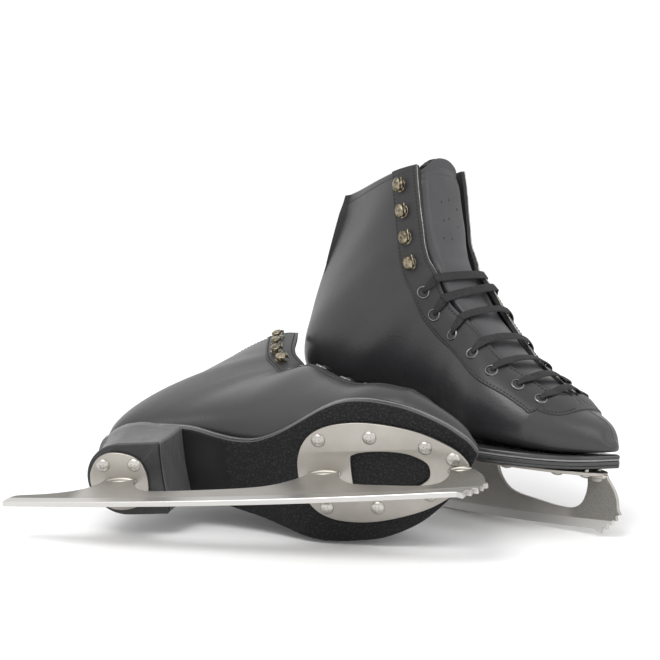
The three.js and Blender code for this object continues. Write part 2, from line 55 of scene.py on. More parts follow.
# ------------------------------------------------------------ the boot's surface
# Columns: Bx Bz Tx Tz g wl wm yc pb pt k (millimetres, boot frame of a left skate).
ST = np.array([
 [281.3,65,279.3,68.8,0,3,3,-7.6,.9,.9,1.05],
 [280,62.3,276.7,71.1,0,8.5,6.2,-7.6,.7,.84,1.05],[274.6,60.9,273,79.1,0,15.5,12.7,-7,.58,.89,1.3],[264.9,59.3,266.8,84.1,0,25.5,22.1,-5.7,.52,.89,1.35],
 [249.7,57.9,256.2,89.7,0,37,34,-3.6,.5,.89,1.36],[234.2,57.4,243.2,98.6,0,44.2,42.9,-2.3,.5,.79,1.26],[222.7,57.4,236.2,99.1,16.3,47.8,46.8,-1.8,.5,.69,1.16],
 [200,57.4,216.9,109.2,21.2,50.1,49.4,-.5,.5,.59,1.07],[175.3,57.8,196.7,120.4,26,48.4,46.6,.5,.5,.5,.98],[150.1,61.9,176.1,137.4,25.7,40.6,44.1,-1.8,.5,.51,.89],
 [122.8,72.9,154.7,153.7,25.5,31.2,43.6,-4.1,.5,.53,.8],[89.3,80.6,141.2,168.6,26.3,31.3,39.4,-2.1,.48,.55,.99],[53.7,83.6,134.2,180,27.6,34.8,36.3,0,.47,.54,1.18],
 [23.3,85.2,128.2,189.2,29.5,35.6,36.7,0,.54,.62,1.14],[.8,92.2,123.6,198.2,31.2,36.6,36.9,0,.65,.73,1.04],[-8,112,120,209.2,32.4,37.4,37,0,.77,.84,.89],
 [-9.4,138.8,117,221.4,32.8,35.6,35.3,0,1.01,.87,.71],[-.2,176,113.8,236,32.2,34.1,34.1,0,1.22,.9,.62],[8.1,206.3,111,248.6,31.3,32.6,32.9,0,1.3,.93,.56],[16,235.5,108.2,261,29.9,30.9,31.4,0,1.3,.97,.5]])
U0 = 4.25
def edge_angle(g, w, pt):
    r = np.clip(np.maximum(g, 0) / w, 0, 1) ** (1 / pt)
    return np.pi - np.arcsin(r)
def qf(th, k):
    return ((1 - np.cos(th)) / 2) ** k
_E = np.zeros((len(ST), 2))
for _i, _s in enumerate(ST):
    if _s[4] > 0:
        acc = []
        for w in (_s[5], _s[6]):
            q = qf(edge_angle(_s[4], w, _s[9]), _s[10])
            acc.append([_s[0] + (_s[2] - _s[0]) / q, _s[1] + (_s[3] - _s[1]) / q])
        _E[_i] = np.mean(acc, 0)
    else:
        _E[_i] = [_s[2], _s[3]]
_G = ST[:, 4].copy(); _G[:6] = [0, 0, 0, 0, 0, 14.5]
TAB = np.column_stack([ST[:, 0], ST[:, 1], _E, _G, ST[:, 5:]])
def crom(A, x):
    x = np.atleast_1d(np.asarray(x, float)); n = len(A)
    i = np.clip(np.floor(x).astype(int), 0, n - 2); t = x - i
    t = t.reshape((-1,) + (1,) * (A.ndim - 1))
    p1, p2 = A[i], A[i + 1]
    p0 = np.where((i == 0).reshape(t.shape), 2 * p1 - p2, A[np.maximum(i - 1, 0)])
    p3 = np.where((i == n - 2).reshape(t.shape), 2 * p2 - p1, A[np.minimum(i + 2, n - 1)])
    return 0.5 * (2 * p1 + (p2 - p0) * t + (2 * p0 - 5 * p1 + 4 * p2 - p3) * t ** 2 + (3 * p1 - p0 - 3 * p2 + p3) * t ** 3)
def gap(u):
    u = np.atleast_1d(np.asarray(u, float))
    g = crom(TAB[:, 4:5], u + 1)[:, 0]
    a = np.sqrt(np.clip(1 - ((5 - u) / (5 - U0)) ** 2, 0, 1)) * 16.3
    return np.where(u <= U0, 0, np.where(u < 5, a, g))
def surf(u, side, th):
    u = np.atleast_1d(np.asarray(u, float)); th = np.broadcast_to(np.asarray(th, float), u.shape)
    side = np.broadcast_to(np.asarray(side, float), u.shape)
    T = crom(TAB, u + 1)
    w = np.where(side > 0, T[:, 5], T[:, 6])
    p = np.where(th < np.pi / 2, T[:, 8], T[:, 9])
    q = qf(th, T[:, 10]); sn = np.maximum(0, np.sin(th))
    return np.column_stack([T[:, 0] + (T[:, 2] - T[:, 0]) * q, T[:, 7] + side * w * sn ** p, T[:, 1] + (T[:, 3] - T[:, 1]) * q])
def te_of(u, side):
    T = crom(TAB, np.atleast_1d(float(u)) + 1)
    w = T[:, 5] if side > 0 else T[:, 6]
    return float(edge_angle(gap(u), w, T[:, 9])[0])
_cache = {}
def arc(u, side):
    key = (round(float(u), 4), side > 0)
    if key not in _cache:
        th = np.linspace(0, 1, 220) * te_of(u, side)
        P = surf(np.full(220, float(u)), side, th)
        _cache[key] = (th, np.concatenate([[0], np.cumsum(np.linalg.norm(np.diff(P, axis=0), axis=1))]))
    return _cache[key]
def th_edge(u, side, dist):
    th, d = arc(u, side)
    return float(np.interp(d[-1] - dist, d, th))
unit = lambda v: np.asarray(v, float) / max(np.linalg.norm(v), 1e-9)
def wave(P):
    P = np.asarray(P, float); x, y, z = P[..., 0], P[..., 1], P[..., 2]
    return .16 * np.sin(x / 17 + y / 23 + .7) + .14 * np.sin(z / 13 - y / 19 + 1.3) + .09 * np.sin(x / 7.5 - z / 9.5 + y / 11)
def point(u, side, d):
    """Place, outward normal and facing direction d mm behind the facing edge (or ridge)."""
    u = float(u); th = th_edge(u, side, d); e = .02
    p = surf(u, side, th)[0]
    a = surf(max(u - e, -1), side, th)[0]; b = surf(min(u + e, 18), side, th)[0]
    c0 = surf(u, side, max(th - .02, .001))[0]; c1 = surf(u, side, min(th + .02, np.pi))[0]
    n = unit(np.cross(b - a, c1 - c0))
    T = crom(TAB, np.array([u + 1]))[0]
    if np.dot(n, p - np.array([(T[0] + T[2]) / 2, T[7], (T[1] + T[3]) / 2])) < 0: n = -n
    if d < .6 and u <= U0: n = unit([n[0], 0, n[2]])
    q0 = surf(max(u - .1, -1), side, th_edge(max(u - .1, -1), side, d))[0]; q1 = surf(min(u + .1, 18), side, th_edge(min(u + .1, 18), side, d))[0]
    t = unit(q1 - q0); t = unit(t - n * np.dot(t, n))
    return p, n, t

def rot(a):
    y, p, r = np.radians(a)
    Rz = np.array([[np.cos(y), -np.sin(y), 0], [np.sin(y), np.cos(y), 0], [0, 0, 1]])
    Ry = np.array([[np.cos(p), 0, np.sin(p)], [0, 1, 0], [-np.sin(p), 0, np.cos(p)]])
    Rx = np.array([[1, 0, 0], [0, np.cos(r), -np.sin(r)], [0, np.sin(r), np.cos(r)]])
    return Rz @ Ry @ Rx
POSE = {'right': (rot([-39.9, .16, -7.45]), np.array([-7.78, 118.86, .6])),
        'left': (rot([-13.23, -4.42, -78.29]), np.array([-171.98, -93.34, 31.05]))}
def world(side, P):
    P = np.array(P, float).reshape(-1, 3).copy()
    if side == 'right': P[:, 1] *= -1
    R, t = POSE[side]
    return (P @ R.T + t) * .001
MW = {}
for s in POSE:
    m = Matrix.Identity(4); R, t = POSE[s]
    for i in range(3):
        for j in range(3): m[i][j] = R[i, j]
        m[i][3] = t[i] * .001
    MW[s] = m

# ------------------------------------------------------------------- materials
class Mat:
    def __init__(s, name, color, rough, metal=0.0, coat=0.0, spec=.5):
        s.m = bpy.data.materials.new(name); s.m.use_nodes = True
        s.nt = s.m.node_tree; s.b = s.nt.nodes['Principled BSDF']
        s.b.inputs['Base Color'].default_value = (*color, 1); s.b.inputs['Roughness'].default_value = rough
        s.b.inputs['Metallic'].default_value = metal; s.b.inputs['Specular IOR Level'].default_value = spec
        s.b.inputs['Coat Weight'].default_value = coat; s.b.inputs['Coat Roughness'].default_value = .3
        s.tc = s.n('TexCoord'); s.at = s.n('Attribute'); s.at.attribute_name = 'loc'; s.hook = None
    def n(s, t, **kw):
        x = s.nt.nodes.new('ShaderNode' + t)
        for k, v in kw.items(): setattr(x, k, v)
        return x
    def l(s, a, b): s.nt.links.new(a, b)
    def noise(s, scale, detail=3, rough=.55, stretch=None, coord='Object'):
        t = s.n('TexNoise'); t.inputs['Scale'].default_value = scale; t.inputs['Detail'].default_value = detail; t.inputs['Roughness'].default_value = rough
        v = s.at.outputs['Vector']
        if stretch:
            mp = s.n('Mapping'); mp.inputs['Scale'].default_value = stretch; s.l(v, mp.inputs['Vector']); v = mp.outputs['Vector']
        s.l(v, t.inputs['Vector'])
        return t.outputs['Fac']
    def voro(s, scale, feature='F1'):
        t = s.n('TexVoronoi', feature=feature); t.inputs['Scale'].default_value = scale
        s.l(s.at.outputs['Vector'], t.inputs['Vector']); return t.outputs['Distance']
    def map(s, v, a, b, c, d, smooth=False):
        t = s.n('MapRange'); t.clamp = True
        if smooth: t.interpolation_type = 'SMOOTHSTEP'
        for k, x in zip(('From Min', 'From Max', 'To Min', 'To Max'), (a, b, c, d)): t.inputs[k].default_value = x
        s.l(v, t.inputs['Value']); return t.outputs['Result']
    def math(s, op, a, b=None):
        t = s.n('Math', operation=op)
        for k, x in ((0, a), (1, b)):
            if x is None: continue
            if isinstance(x, (int, float)): t.inputs[k].default_value = x
            else: s.l(x, t.inputs[k])
        return t.outputs[0]
    def mix(s, f, a, b):
        t = s.n('Mix', data_type='RGBA')
        s.l(f, t.inputs['Factor'])
        for k, x in ((6, a), (7, b)):
            if isinstance(x, tuple): t.inputs[k].default_value = (*x, 1)
            else: s.l(x, t.inputs[k])
        return t.outputs[2]
    def color(s, v): s.l(v, s.b.inputs['Base Color'])
    def rough(s, v): s.l(v, s.b.inputs['Roughness'])
    def bump(s, v, dist, strength=1.0):
        t = s.n('Bump'); t.inputs['Distance'].default_value = dist; t.inputs['Strength'].default_value = strength
        s.l(v, t.inputs['Height'])
        if s.hook is not None: s.l(s.hook, t.inputs['Normal'])
        s.hook = t.outputs['Normal']; s.l(s.hook, s.b.inputs['Normal'])
    def xyz(s):
        t = s.n('SeparateXYZ'); s.l(s.at.outputs['Vector'], t.inputs[0]); return t.outputs

def leather(name, c0, c1, r0, r1, grain=1.0, coat=0.0):
    m = Mat(name, c0, r0, coat=coat)
    big = m.noise(14, 4); fine = m.noise(240, 3)
    m.color(m.mix(m.map(big, .3, .7, 0, 1), c0, c1))
    m.rough(m.map(m.math('ADD', m.math('MULTIPLY', big, .7), m.math('MULTIPLY', fine, .3)), .3, .7, r0, r1))
    m.bump(m.voro(520), .00012 * grain, .55); m.bump(m.noise(900, 3), .00008 * grain, .5); m.bump(m.noise(36, 3), .0010, .18)
    return m.m
LEATHER = leather('boot_leather', (.023, .023, .0248), (.033, .033, .0352), .32, .42, coat=.0)
FACING = leather('facing_leather', (.014, .0135, .0138), (.020, .0192, .0195), .42, .54)
TONGUE = leather('tongue_leather', (.030, .030, .033), (.044, .044, .047), .38, .50, .8)
LINING = leather('lining_leather', (.010, .0095, .0095), (.016, .015, .015), .62, .8, 1.4)
CUT = Mat('cut_edge', (.42, .40, .37), .8)
CUT.color(CUT.mix(CUT.map(CUT.noise(700, 4), .35, .65, 0, 1), (.26, .25, .23), (.60, .58, .54))); CUT.bump(CUT.noise(1500, 3), .0001, .6); CUT = CUT.m
THREAD = Mat('stitch_thread', (.05, .05, .052), .55)
THREAD.color(THREAD.mix(THREAD.noise(900, 2), (.003, .003, .003), (.012, .012, .012))); THREAD.bump(THREAD.noise(2500, 2), .00008, .6); THREAD = THREAD.m
def rubber():
    m = Mat('outsole_rubber', (.008, .008, .009), .5, spec=.22)
    x = m.xyz()
    f = m.map(x[0], .085, .100, 0, 1, True)                     # smooth behind, pebbled in front
    v = m.voro(480)
    h = m.math('MULTIPLY', m.map(v, .1, .6, 1, 0), f)
    m.color(m.mix(m.map(m.math('MULTIPLY', m.noise(700, 4), f), .50, .66, 0, 1), (.005, .005, .0055), (.024, .024, .025)))
    m.rough(m.map(f, 0, 1, .30, .62)); m.bump(h, .00030, .7); m.bump(m.noise(90, 3), .0004, .2)
    return m.m
RUBBER = rubber()
def edge_mat(name, c0, c1, r):
    m = Mat(name, c0, r, coat=.15)
    st = m.noise(60, 4, stretch=(1, 1, 14))
    m.color(m.mix(m.map(st, .35, .65, 0, 1), c0, c1)); m.rough(m.map(m.noise(160, 3), .3, .7, r, r + .16)); m.bump(m.noise(130, 4, stretch=(1, 1, 9)), .0002, .35)
    return m.m
EDGE = edge_mat('sole_edge', (.026, .026, .027), (.046, .046, .046), .24)
EDGE_LIGHT = edge_mat('sole_edge_light', (.16, .16, .158), (.24, .238, .23), .34)
HEEL = edge_mat('heel_leather', (.062, .062, .064), (.088, .088, .090), .34)
LIFT = edge_mat('heel_lift', (.010, .010, .011), (.020, .020, .021), .45)
def steel(name, c0, c1, r0, r1, zones=False):
    m = Mat(name, c0, r0, metal=1.0)
    br = m.noise(55, 4, .6, stretch=(1.2, 1, 26)); smudge = m.noise(22, 3)
    col = m.mix(m.map(smudge, .3, .7, 0, 1), c0, c1)
    ro = m.map(br, .3, .7, r0, r1)
    if zones:
        x = m.xyz(); z = x[2]
        toe = m.math('MULTIPLY', m.map(x[0], .246, .258, 0, 1, True), 1.0); heel = m.map(x[0], .006, -.006, 0, 1, True)
        g = m.math('MAXIMUM', toe, heel)
        rk = m.math('MULTIPLY', m.math('POWER', m.math('ABSOLUTE', m.math('SUBTRACT', x[0], .115)), 2.0), .2273)
        hz = m.math('SUBTRACT', z, rk)
        band = m.map(hz, .0072, .0062, 0, 1, True)
        face = m.map(m.math('ABSOLUTE', x[1]), .0016, .0019, 0, 1)
        g2 = m.math('MULTIPLY', m.math('MULTIPLY', g, m.math('SUBTRACT', 1.0, band)), face)
        gn = m.noise(1100, 3)
        col = m.mix(g2, m.mix(band, col, (.56, .55, .53)), m.mix(gn, (.13, .125, .115), (.36, .35, .32)))
        t = m.n('Mix', data_type='FLOAT'); m.l(g2, t.inputs[0]); m.l(ro, t.inputs[2]); t.inputs[3].default_value = .58
        t2 = m.n('Mix', data_type='FLOAT'); m.l(band, t2.inputs[0]); m.l(t.outputs[0], t2.inputs[2]); t2.inputs[3].default_value = .34
        ro = t2.outputs[0]
        m.bump(m.math('MULTIPLY', gn, g2), .00035, .8)
    m.color(col); m.rough(ro); m.bump(br, .00006, .35)
    return m.m
BLADE = steel('blade_steel', (.40, .385, .36), (.50, .48, .45), .40, .50, True)
PLATE = steel('plate_steel', (.37, .35, .315), (.47, .445, .41), .36, .48)
SCREW = steel('screw_steel', (.44, .42, .39), (.58, .56, .52), .26, .40)
# near-black material: painted shade for holes, recesses and slots (eyelet bores, screw cross recesses, hook slots,
# tongue perforations)
PAINTED_SHADE = Mat('painted_shade_recess', (.006, .006, .006), .7); PAINTED_SHADE.bump(PAINTED_SHADE.noise(900, 2), .0001, .4); PAINTED_SHADE = PAINTED_SHADE.m
EYE = steel('eyelet_rim', (.13, .13, .13), (.24, .24, .24), .26, .40)
BRASS = Mat('antique_brass', (.20, .165, .11), .38, metal=1.0)
_k = BRASS.noise(420, 4)
BRASS.color(BRASS.mix(BRASS.map(_k, .38, .62, 0, 1), (.085, .072, .052), (.36, .31, .22))); BRASS.rough(BRASS.map(_k, .3, .7, .52, .28)); BRASS.bump(_k, .00012, .5); BRASS = BRASS.m
def lacemat():
    m = Mat('lace_weave', (.02, .02, .021), .7)
    w = m.n('TexWave', wave_type='BANDS', bands_direction='X'); w.inputs['Scale'].default_value = 1.0; w.inputs['Distortion'].default_value = 0
    mp = m.n('Mapping'); mp.inputs['Scale'].default_value = (60, 5, 1); m.l(m.tc.outputs['UV'], mp.inputs[0]); m.l(mp.outputs[0], w.inputs['Vector'])
    c = m.n('TexChecker'); c.inputs['Scale'].default_value = 1.0
    mp2 = m.n('Mapping'); mp2.inputs['Scale'].default_value = (150, 7, 1); m.l(m.tc.outputs['UV'], mp2.inputs[0]); m.l(mp2.outputs[0], c.inputs['Vector'])
    m.color(m.mix(m.math('MULTIPLY', c.outputs['Fac'], m.map(m.noise(300, 3), .3, .7, .5, 1)), (.004, .004, .0045), (.018, .018, .019)))
    m.bump(c.outputs['Fac'], .00025, .7); m.bump(m.noise(1600, 2), .0001, .5)
    m.rough(m.map(m.noise(300, 3), .3, .7, .6, .85))
    return m.m
LACE = lacemat()
FOOT = Mat('footbed', (.10, .095, .085), .85); FOOT.color(FOOT.mix(FOOT.map(FOOT.noise(60, 4), .3, .7, 0, 1), (.045, .043, .04), (.085, .08, .072))); FOOT.bump(FOOT.noise(800, 3), .0002, .6); FOOT = FOOT.m
COUNTER = Mat('counter_board', (.2, .15, .1), .8); COUNTER.color(COUNTER.mix(COUNTER.map(COUNTER.noise(300, 4), .3, .7, 0, 1), (.15, .11, .07), (.28, .22, .15))); COUNTER.bump(COUNTER.noise(900, 3), .0002, .6); COUNTER = COUNTER.m

# --------------------------------------------------------------------- helpers
def keep_loc(me):
    c = np.zeros(len(me.vertices) * 3, np.float32); me.vertices.foreach_get('co', c)
    a = me.attributes.new('loc', 'FLOAT_VECTOR', 'POINT'); a.data.foreach_set('vector', c)
def link(name, me, side, body, reps, matrix=True):
    keep_loc(me)
    if matrix: me.transform(MW[side]); me.update()
    ob = bpy.data.objects.new(name, me); bpy.context.scene.collection.objects.link(ob)
    bpy.context.view_layer.update()
    if body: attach(ob, body)
    if reps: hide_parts(*reps)
    return ob
def fix(me, sharp=35, merge=0):
    import bmesh
    bm = bmesh.new(); bm.from_mesh(me)
    if merge: bmesh.ops.remove_doubles(bm, verts=bm.verts, dist=merge)
    bmesh.ops.dissolve_degenerate(bm, dist=1e-7, edges=bm.edges)
    bmesh.ops.recalc_face_normals(bm, faces=bm.faces)
    bm.to_mesh(me); bm.free()
    me.polygons.foreach_set('use_smooth', [True] * len(me.polygons)); me.update()
    me.set_sharp_from_angle(angle=math.radians(sharp))
def make(name, V, F, mats, side, mi=None, sharp=35, reps=(), merge=0, body=None):
    V = np.array(V, float).reshape(-1, 3) * .001
    if side == 'right': V = V * [1, -1, 1]; F = [tuple(f)[::-1] for f in F]
    me = bpy.data.meshes.new(name); me.from_pydata(V.tolist(), [], [tuple(int(i) for i in f) for f in F])
    for m in mats: me.materials.append(m)
    if mi is not None: me.polygons.foreach_set('material_index', [int(i) for i in mi])
    fix(me, sharp, merge)
    return link(name, me, side, body or 'skate_' + side, reps)
class Bag:
    """Many small closed solids gathered into one mesh."""
    def __init__(s): s.V, s.F, s.M = [], [], []
    def add(s, V, F, m=0):
        o = len(s.V); s.V += [tuple(v) for v in V]; s.F += [tuple(i + o for i in f) for f in F]
        s.M += list(m) if hasattr(m, '__len__') else [m] * len(F)
def lathe(prof, n=24):
    """Closed solid of revolution about +z; prof runs from the axis to the axis."""
    V, F = [], []; idx = []
    for r, z in prof:
        if r < 1e-6: idx.append([len(V)]); V.append((0, 0, z))
        else:
            idx.append(list(range(len(V), len(V) + n))); V += [(r * math.cos(2 * math.pi * i / n), r * math.sin(2 * math.pi * i / n), z) for i in range(n)]
    rows = []
    for k in range(len(prof) - 1):
        a, b = idx[k], idx[k + 1]
        for i in range(n):
            j = (i + 1) % n
            if len(a) == 1: F.append((a[0], b[i], b[j]))
            elif len(b) == 1: F.append((a[i], b[0], a[j]))
            else: F.append((a[i], b[i], b[j], a[j]))
            rows.append(k)
    return np.array(V), F, rows
def place(V, p, n, t):
    x = unit(np.cross(t, n)); return np.asarray(V) @ np.array([t, x, n]) + p
def ball(rx, ry, rz, n=16, m=10, pw=1.0):
    prof = [(math.cos(a) ** pw, math.sin(a)) for a in np.linspace(-math.pi / 2, math.pi / 2, m)]
    prof[0] = (0, -1); prof[-1] = (0, 1)
    V, F, _ = lathe(prof, n); return V * [rx, ry, rz], F
def box(a, b, c):
    V = [(x * a / 2, y * b / 2, z * c / 2) for x in (-1, 1) for y in (-1, 1) for z in (-1, 1)]
    return np.array(V), [(0, 1, 3, 2), (4, 6, 7, 5), (0, 4, 5, 1), (2, 3, 7, 6), (0, 2, 6, 4), (1, 5, 7, 3)]
def sweep(P, W, w, h, n=12, pw=.55):
    """Flat band along P with width directions W, widths w, thickness h."""
    P = np.asarray(P); T = np.gradient(P, axis=0); V, F = [], []
    for k in range(len(P)):
        t = unit(T[k]); x = unit(W[k] - t * np.dot(W[k], t)); y = np.cross(t, x)
        for i in range(n):
            a = 2 * math.pi * i / n; c, s = math.cos(a), math.sin(a)
            V.append(P[k] + x * (w[k] / 2 * np.sign(c) * abs(c) ** pw) + y * (h[k] / 2 * np.sign(s) * abs(s) ** .8))
    for k in range(len(P) - 1):
        for i in range(n):
            j = (i + 1) % n; F.append((k * n + i, k * n + j, (k + 1) * n + j, (k + 1) * n + i))
    F.append(tuple(range(n - 1, -1, -1))); F.append(tuple((len(P) - 1) * n + i for i in range(n)))
    return np.array(V), F
def curve(pts, step):
    """Catmull-Rom through pts, sampled about every step mm."""
    pts = np.asarray(pts, float); x = np.linspace(0, len(pts) - 1, 40 * len(pts)); C = crom(pts, x)
    d = np.concatenate([[0], np.cumsum(np.linalg.norm(np.diff(C[:, :3], axis=0), axis=1))])
    n = max(3, int(d[-1] / step)); s = np.linspace(0, d[-1], n)
    return np.column_stack([np.interp(s, d, C[:, k]) for k in range(C.shape[1])]), d[-1]

# ---------------------------------------------------------------- upper, lining
US = np.unique(np.round(np.concatenate([np.linspace(-1, 1, 27), np.linspace(1, 4, 43), [4.1, 4.18, 4.22, 4.25, 4.252, 4.26, 4.275, 4.3, 4.34, 4.4, 4.48, 4.57, 4.68, 4.8, 4.9], np.linspace(5, 17.5, 126), [17.6, 17.7, 17.78, 17.85, 17.9, 17.94, 17.97, 18.0]]), 4))
def columns(u, side):
    th, d = arc(u, side); D = d[-1]; a = min(1, D / 18)
    e = np.array([0, .45, .9, 1.5, 2.6, 4.2]) * a; b = np.array([0, .45, .9, 1.6, 3.0]) * a
    s = np.concatenate([b, np.linspace(3 * a, D - 4.2 * a, 36)[1:-1], (D - e)[::-1]])
    return s, np.interp(s, d, th), D
def boot_grid():
    G, DE, DB = [], [], []
    for u in US:
        row, de, db = [], [], []
        for side in (-1, 1):
            s, th, D = columns(u, side)
            P = surf(np.full(len(s), u), side, th)
            if side < 0: row += list(P[::-1]); de += list((D - s)[::-1]); db += list(s[::-1])
            else: row += list(P[1:]); de += list((D - s)[1:]); db += list(s[1:])
        G.append(row); DE.append(de); DB.append(db)
    return np.array(G), np.array(DE), np.array(DB)
G, DE, DB = boot_grid(); NR, NCOL = G.shape[:2]
du = np.gradient(G, axis=0); dv = np.gradient(G, axis=1)
wr = US <= U0 + 1e-6
dv[wr, 0] = G[wr, 1] - G[wr, -2]; dv[wr, -1] = dv[wr, 0]
NN = np.cross(du, dv); NN /= np.maximum(np.linalg.norm(NN, axis=2, keepdims=True), 1e-9)
Tm = crom(TAB, US + 1); CEN = np.stack([(Tm[:, 0] + Tm[:, 2]) / 2, Tm[:, 7], (Tm[:, 1] + Tm[:, 3]) / 2], 1)
NN *= np.where(np.sum(NN * (G - CEN[:, None]), 2, keepdims=True) < 0, -1, 1)
UU = np.broadcast_to(US[:, None], DE.shape)
top_d = np.zeros_like(DE)
seg = np.linalg.norm(np.diff(G, axis=0), axis=2); top_d[:-1] = np.cumsum(seg[::-1], axis=0)[::-1]
WV = wave(G)
ridge = np.where(UU <= 3.15, -.55 * np.exp(-(DE / .55) ** 2) + .18 * np.exp(-((DE - 1.7) / .9) ** 2), 0)
back = np.where(UU >= 12, -.35 * np.exp(-(DB / .5) ** 2), 0)
OUT_O = WV + ridge + back - .9 * np.exp(-(top_d / .7) ** 2)
OUT_I = WV - 2.2 + .9 * np.exp(-(top_d / .7) ** 2)
sm = lambda x: np.clip(x, 0, 1) ** 2 * (3 - 2 * np.clip(x, 0, 1))
edge_f = sm(np.minimum(np.where(UU > 4.5, DE - 4, 99), top_d - 6) / 10)
LIN_O = WV - 2.3 - 1.3 * edge_f
LIN_I = WV - 3.4 - 1.4 * edge_f
def shell(name, oo, oi, r0o, r0i, mats, edge, side, reps, top_mat=0):
    V = np.concatenate([(G + NN * oo[..., None]).reshape(-1, 3), (G + NN * oi[..., None]).reshape(-1, 3)])
    def vid(layer, r, c):
        if c == NCOL - 1 and wr[r]: c = 0
        return layer * NR * NCOL + r * NCOL + c
    F, M = [], []
    for r in range(NR - 1):
        for c in range(NCOL - 1):
            if r >= r0o: F.append((vid(0, r, c), vid(0, r + 1, c), vid(0, r + 1, c + 1), vid(0, r, c + 1))); M.append(0)
            if r >= r0i: F.append((vid(1, r, c), vid(1, r, c + 1), vid(1, r + 1, c + 1), vid(1, r + 1, c))); M.append(0)
    L = NR - 1
    for c in range(NCOL - 1): F.append((vid(0, L, c + 1), vid(0, L, c), vid(1, L, c), vid(1, L, c + 1))); M.append(top_mat)
    for r in range(int(np.argmax(US >= U0 - 1e-6)), L):
        F.append((vid(0, r + 1, 0), vid(0, r, 0), vid(1, r, 0), vid(1, r + 1, 0))); M.append(edge)
        F.append((vid(0, r, NCOL - 1), vid(0, r + 1, NCOL - 1), vid(1, r + 1, NCOL - 1), vid(1, r, NCOL - 1))); M.append(edge)
    V = list(V)
    for layer, r in ((0, r0o), (1, r0i)):
        ids = [vid(layer, r, c) for c in range(NCOL - 1)]
        V.append(np.mean([V[i] for i in ids], 0)); k = len(V) - 1
        for i in range(len(ids)):
            a, b = ids[i], ids[(i + 1) % len(ids)]
            F.append((a, b, k) if layer == 0 else (b, a, k)); M.append(0)
    used = sorted({i for f in F for i in f}); re = {o: i for i, o in enumerate(used)}
    return make(name, np.array([V[i] for i in used]), [tuple(re[i] for i in f) for f in F], mats, side, M, 50, reps)

# ------------------------------------------------------- the stitched facing band
CTRL = np.array([(18,18,25.3),(16,16,25.3),(14,14,25.5),(12,12,26),(10,10,26),(9,9,26),(7.2,7.2,27.5),(5.75,5.75,29.5),(5.2,5.1,31.3),(4.9,4.8,32.8),(4.6,4.35,35.8),(4.38,3.95,38),
  (4.28,3.6,36.5),(4.25,3.3,31),(4.25,3.12,24),(4.25,3.03,16),(4.25,3.0,8),(4.25,3.0,0)], float)
def band_ctrl():
    x = np.linspace(0, len(CTRL) - 1, 26 * (len(CTRL) - 1) + 1)
    K = CTRL.copy(); K[:, 2] += gap(K[:, 1]); K[11, 2] = 41.0; K[12, 2] = 37.2
    C = crom(K, x); C[:, 0] = np.clip(C[:, 0], 4.25, 18); C[:, 1] = np.minimum(C[:, 1], 18); C[:, 2] = np.maximum(C[:, 2] - gap(C[:, 1]), 0); C[-1] = CTRL[-1]
    P = np.array([surf(c[1], 1, th_edge(c[1], 1, c[2]))[0] for c in C])
    d = np.concatenate([[0], np.cumsum(np.linalg.norm(np.diff(P, axis=0), axis=1))])
    s = np.linspace(0, d[-1], int(d[-1] / 2.0))
    return np.column_stack([np.interp(s, d, C[:, k]) for k in range(3)])
BC = band_ctrl()
TS = np.array([0, .02, .05, .1, .2, .3, .4, .5, .6, .7, .8, .87, .92, .96, .985, 1.0])
def band_points(side_sign):
    P = np.zeros((len(BC), len(TS), 3)); N = np.zeros_like(P)
    for i, (ui, uo, do) in enumerate(BC):
        for j, t in enumerate(TS):
            uu = ui + (uo - ui) * t; g0, g1, g2 = gap(ui)[0], gap(uo)[0], gap(uu)[0]
            P[i, j], N[i, j], _ = point(uu, side_sign, max(0, g0 + (do + g1 - g0) * t - g2))
    return P, N
_a, _an = band_points(1); _b, _bn = band_points(-1)
BP = np.concatenate([_a, _b[::-1][1:]]); BN = np.concatenate([_an, _bn[::-1][1:]])
def facing(side):
    nr, nc = BP.shape[:2]; WVB = wave(BP)
    lift = np.full((nr, nc), .95); lift[:, -1] = .30; lift[:, -2] = .75; lift[:, 0] = .75; lift[:, 1] = .92
    dd = np.concatenate([BC[:, 2], BC[::-1][1:, 2]])[:, None]
    back_d = dd * (1 - TS)[None]; front_d = dd * TS[None]
    lift -= .28 * np.exp(-((back_d - 2.2) / .9) ** 2) + .22 * np.exp(-((front_d - 3) / .9) ** 2)
    O = BP + BN * (lift + WVB)[..., None]; I = BP + BN * (WVB - .5)[..., None]
    V = np.concatenate([O.reshape(-1, 3), I.reshape(-1, 3)]); F, M = [], []; K = nr * nc
    for r in range(nr - 1):
        for c in range(nc - 1):
            a, b, e, f = r * nc + c, r * nc + c + 1, (r + 1) * nc + c + 1, (r + 1) * nc + c
            F += [(a, b, e, f), (a + K, f + K, e + K, b + K)]; M += [0, 0]
        a, f = r * nc, (r + 1) * nc; F.append((a, f, f + K, a + K)); M.append(1)
        a, f = a + nc - 1, f + nc - 1; F.append((f, a, a + K, f + K)); M.append(0)
    for r in (0, nr - 1):
        for c in range(nc - 1):
            a = r * nc + c; F.append((a + 1, a, a + K, a + 1 + K)); M.append(0)
    return make(side + '_facing_band', V, F, [FACING, CUT], side, M, 40, (), merge=2e-6)
def capsule_row(bag, path, pitch=3.0, L=2.0, r=.5, lift=.86, m=0):
    C, n = curve(path, .5)
    Ps, Ns = [], []
    for u, s, d in C:
        p, nn, _ = point(u, 1 if s > 0 else -1, abs(d)); Ps.append(p + nn * wave(p)); Ns.append(nn)
    Ps, Ns = np.array(Ps), np.array(Ns)
    a = np.concatenate([[0], np.cumsum(np.linalg.norm(np.diff(Ps, axis=0), axis=1))])
    for s in np.arange(pitch / 2, a[-1] - pitch / 2, pitch):
        q = [np.array([np.interp(x, a, Ps[:, k]) for k in range(3)]) for x in (s - L / 2, s, s + L / 2)]
        n = unit([np.interp(s, a, Ns[:, k]) for k in range(3)])
        t = unit(q[2] - q[0]); t = unit(t - n * np.dot(n, t))
        V, F = ball(L / 2, r, r, 6, 6, .5); bag.add(place(V, q[1] + n * lift, n, t), F, m)
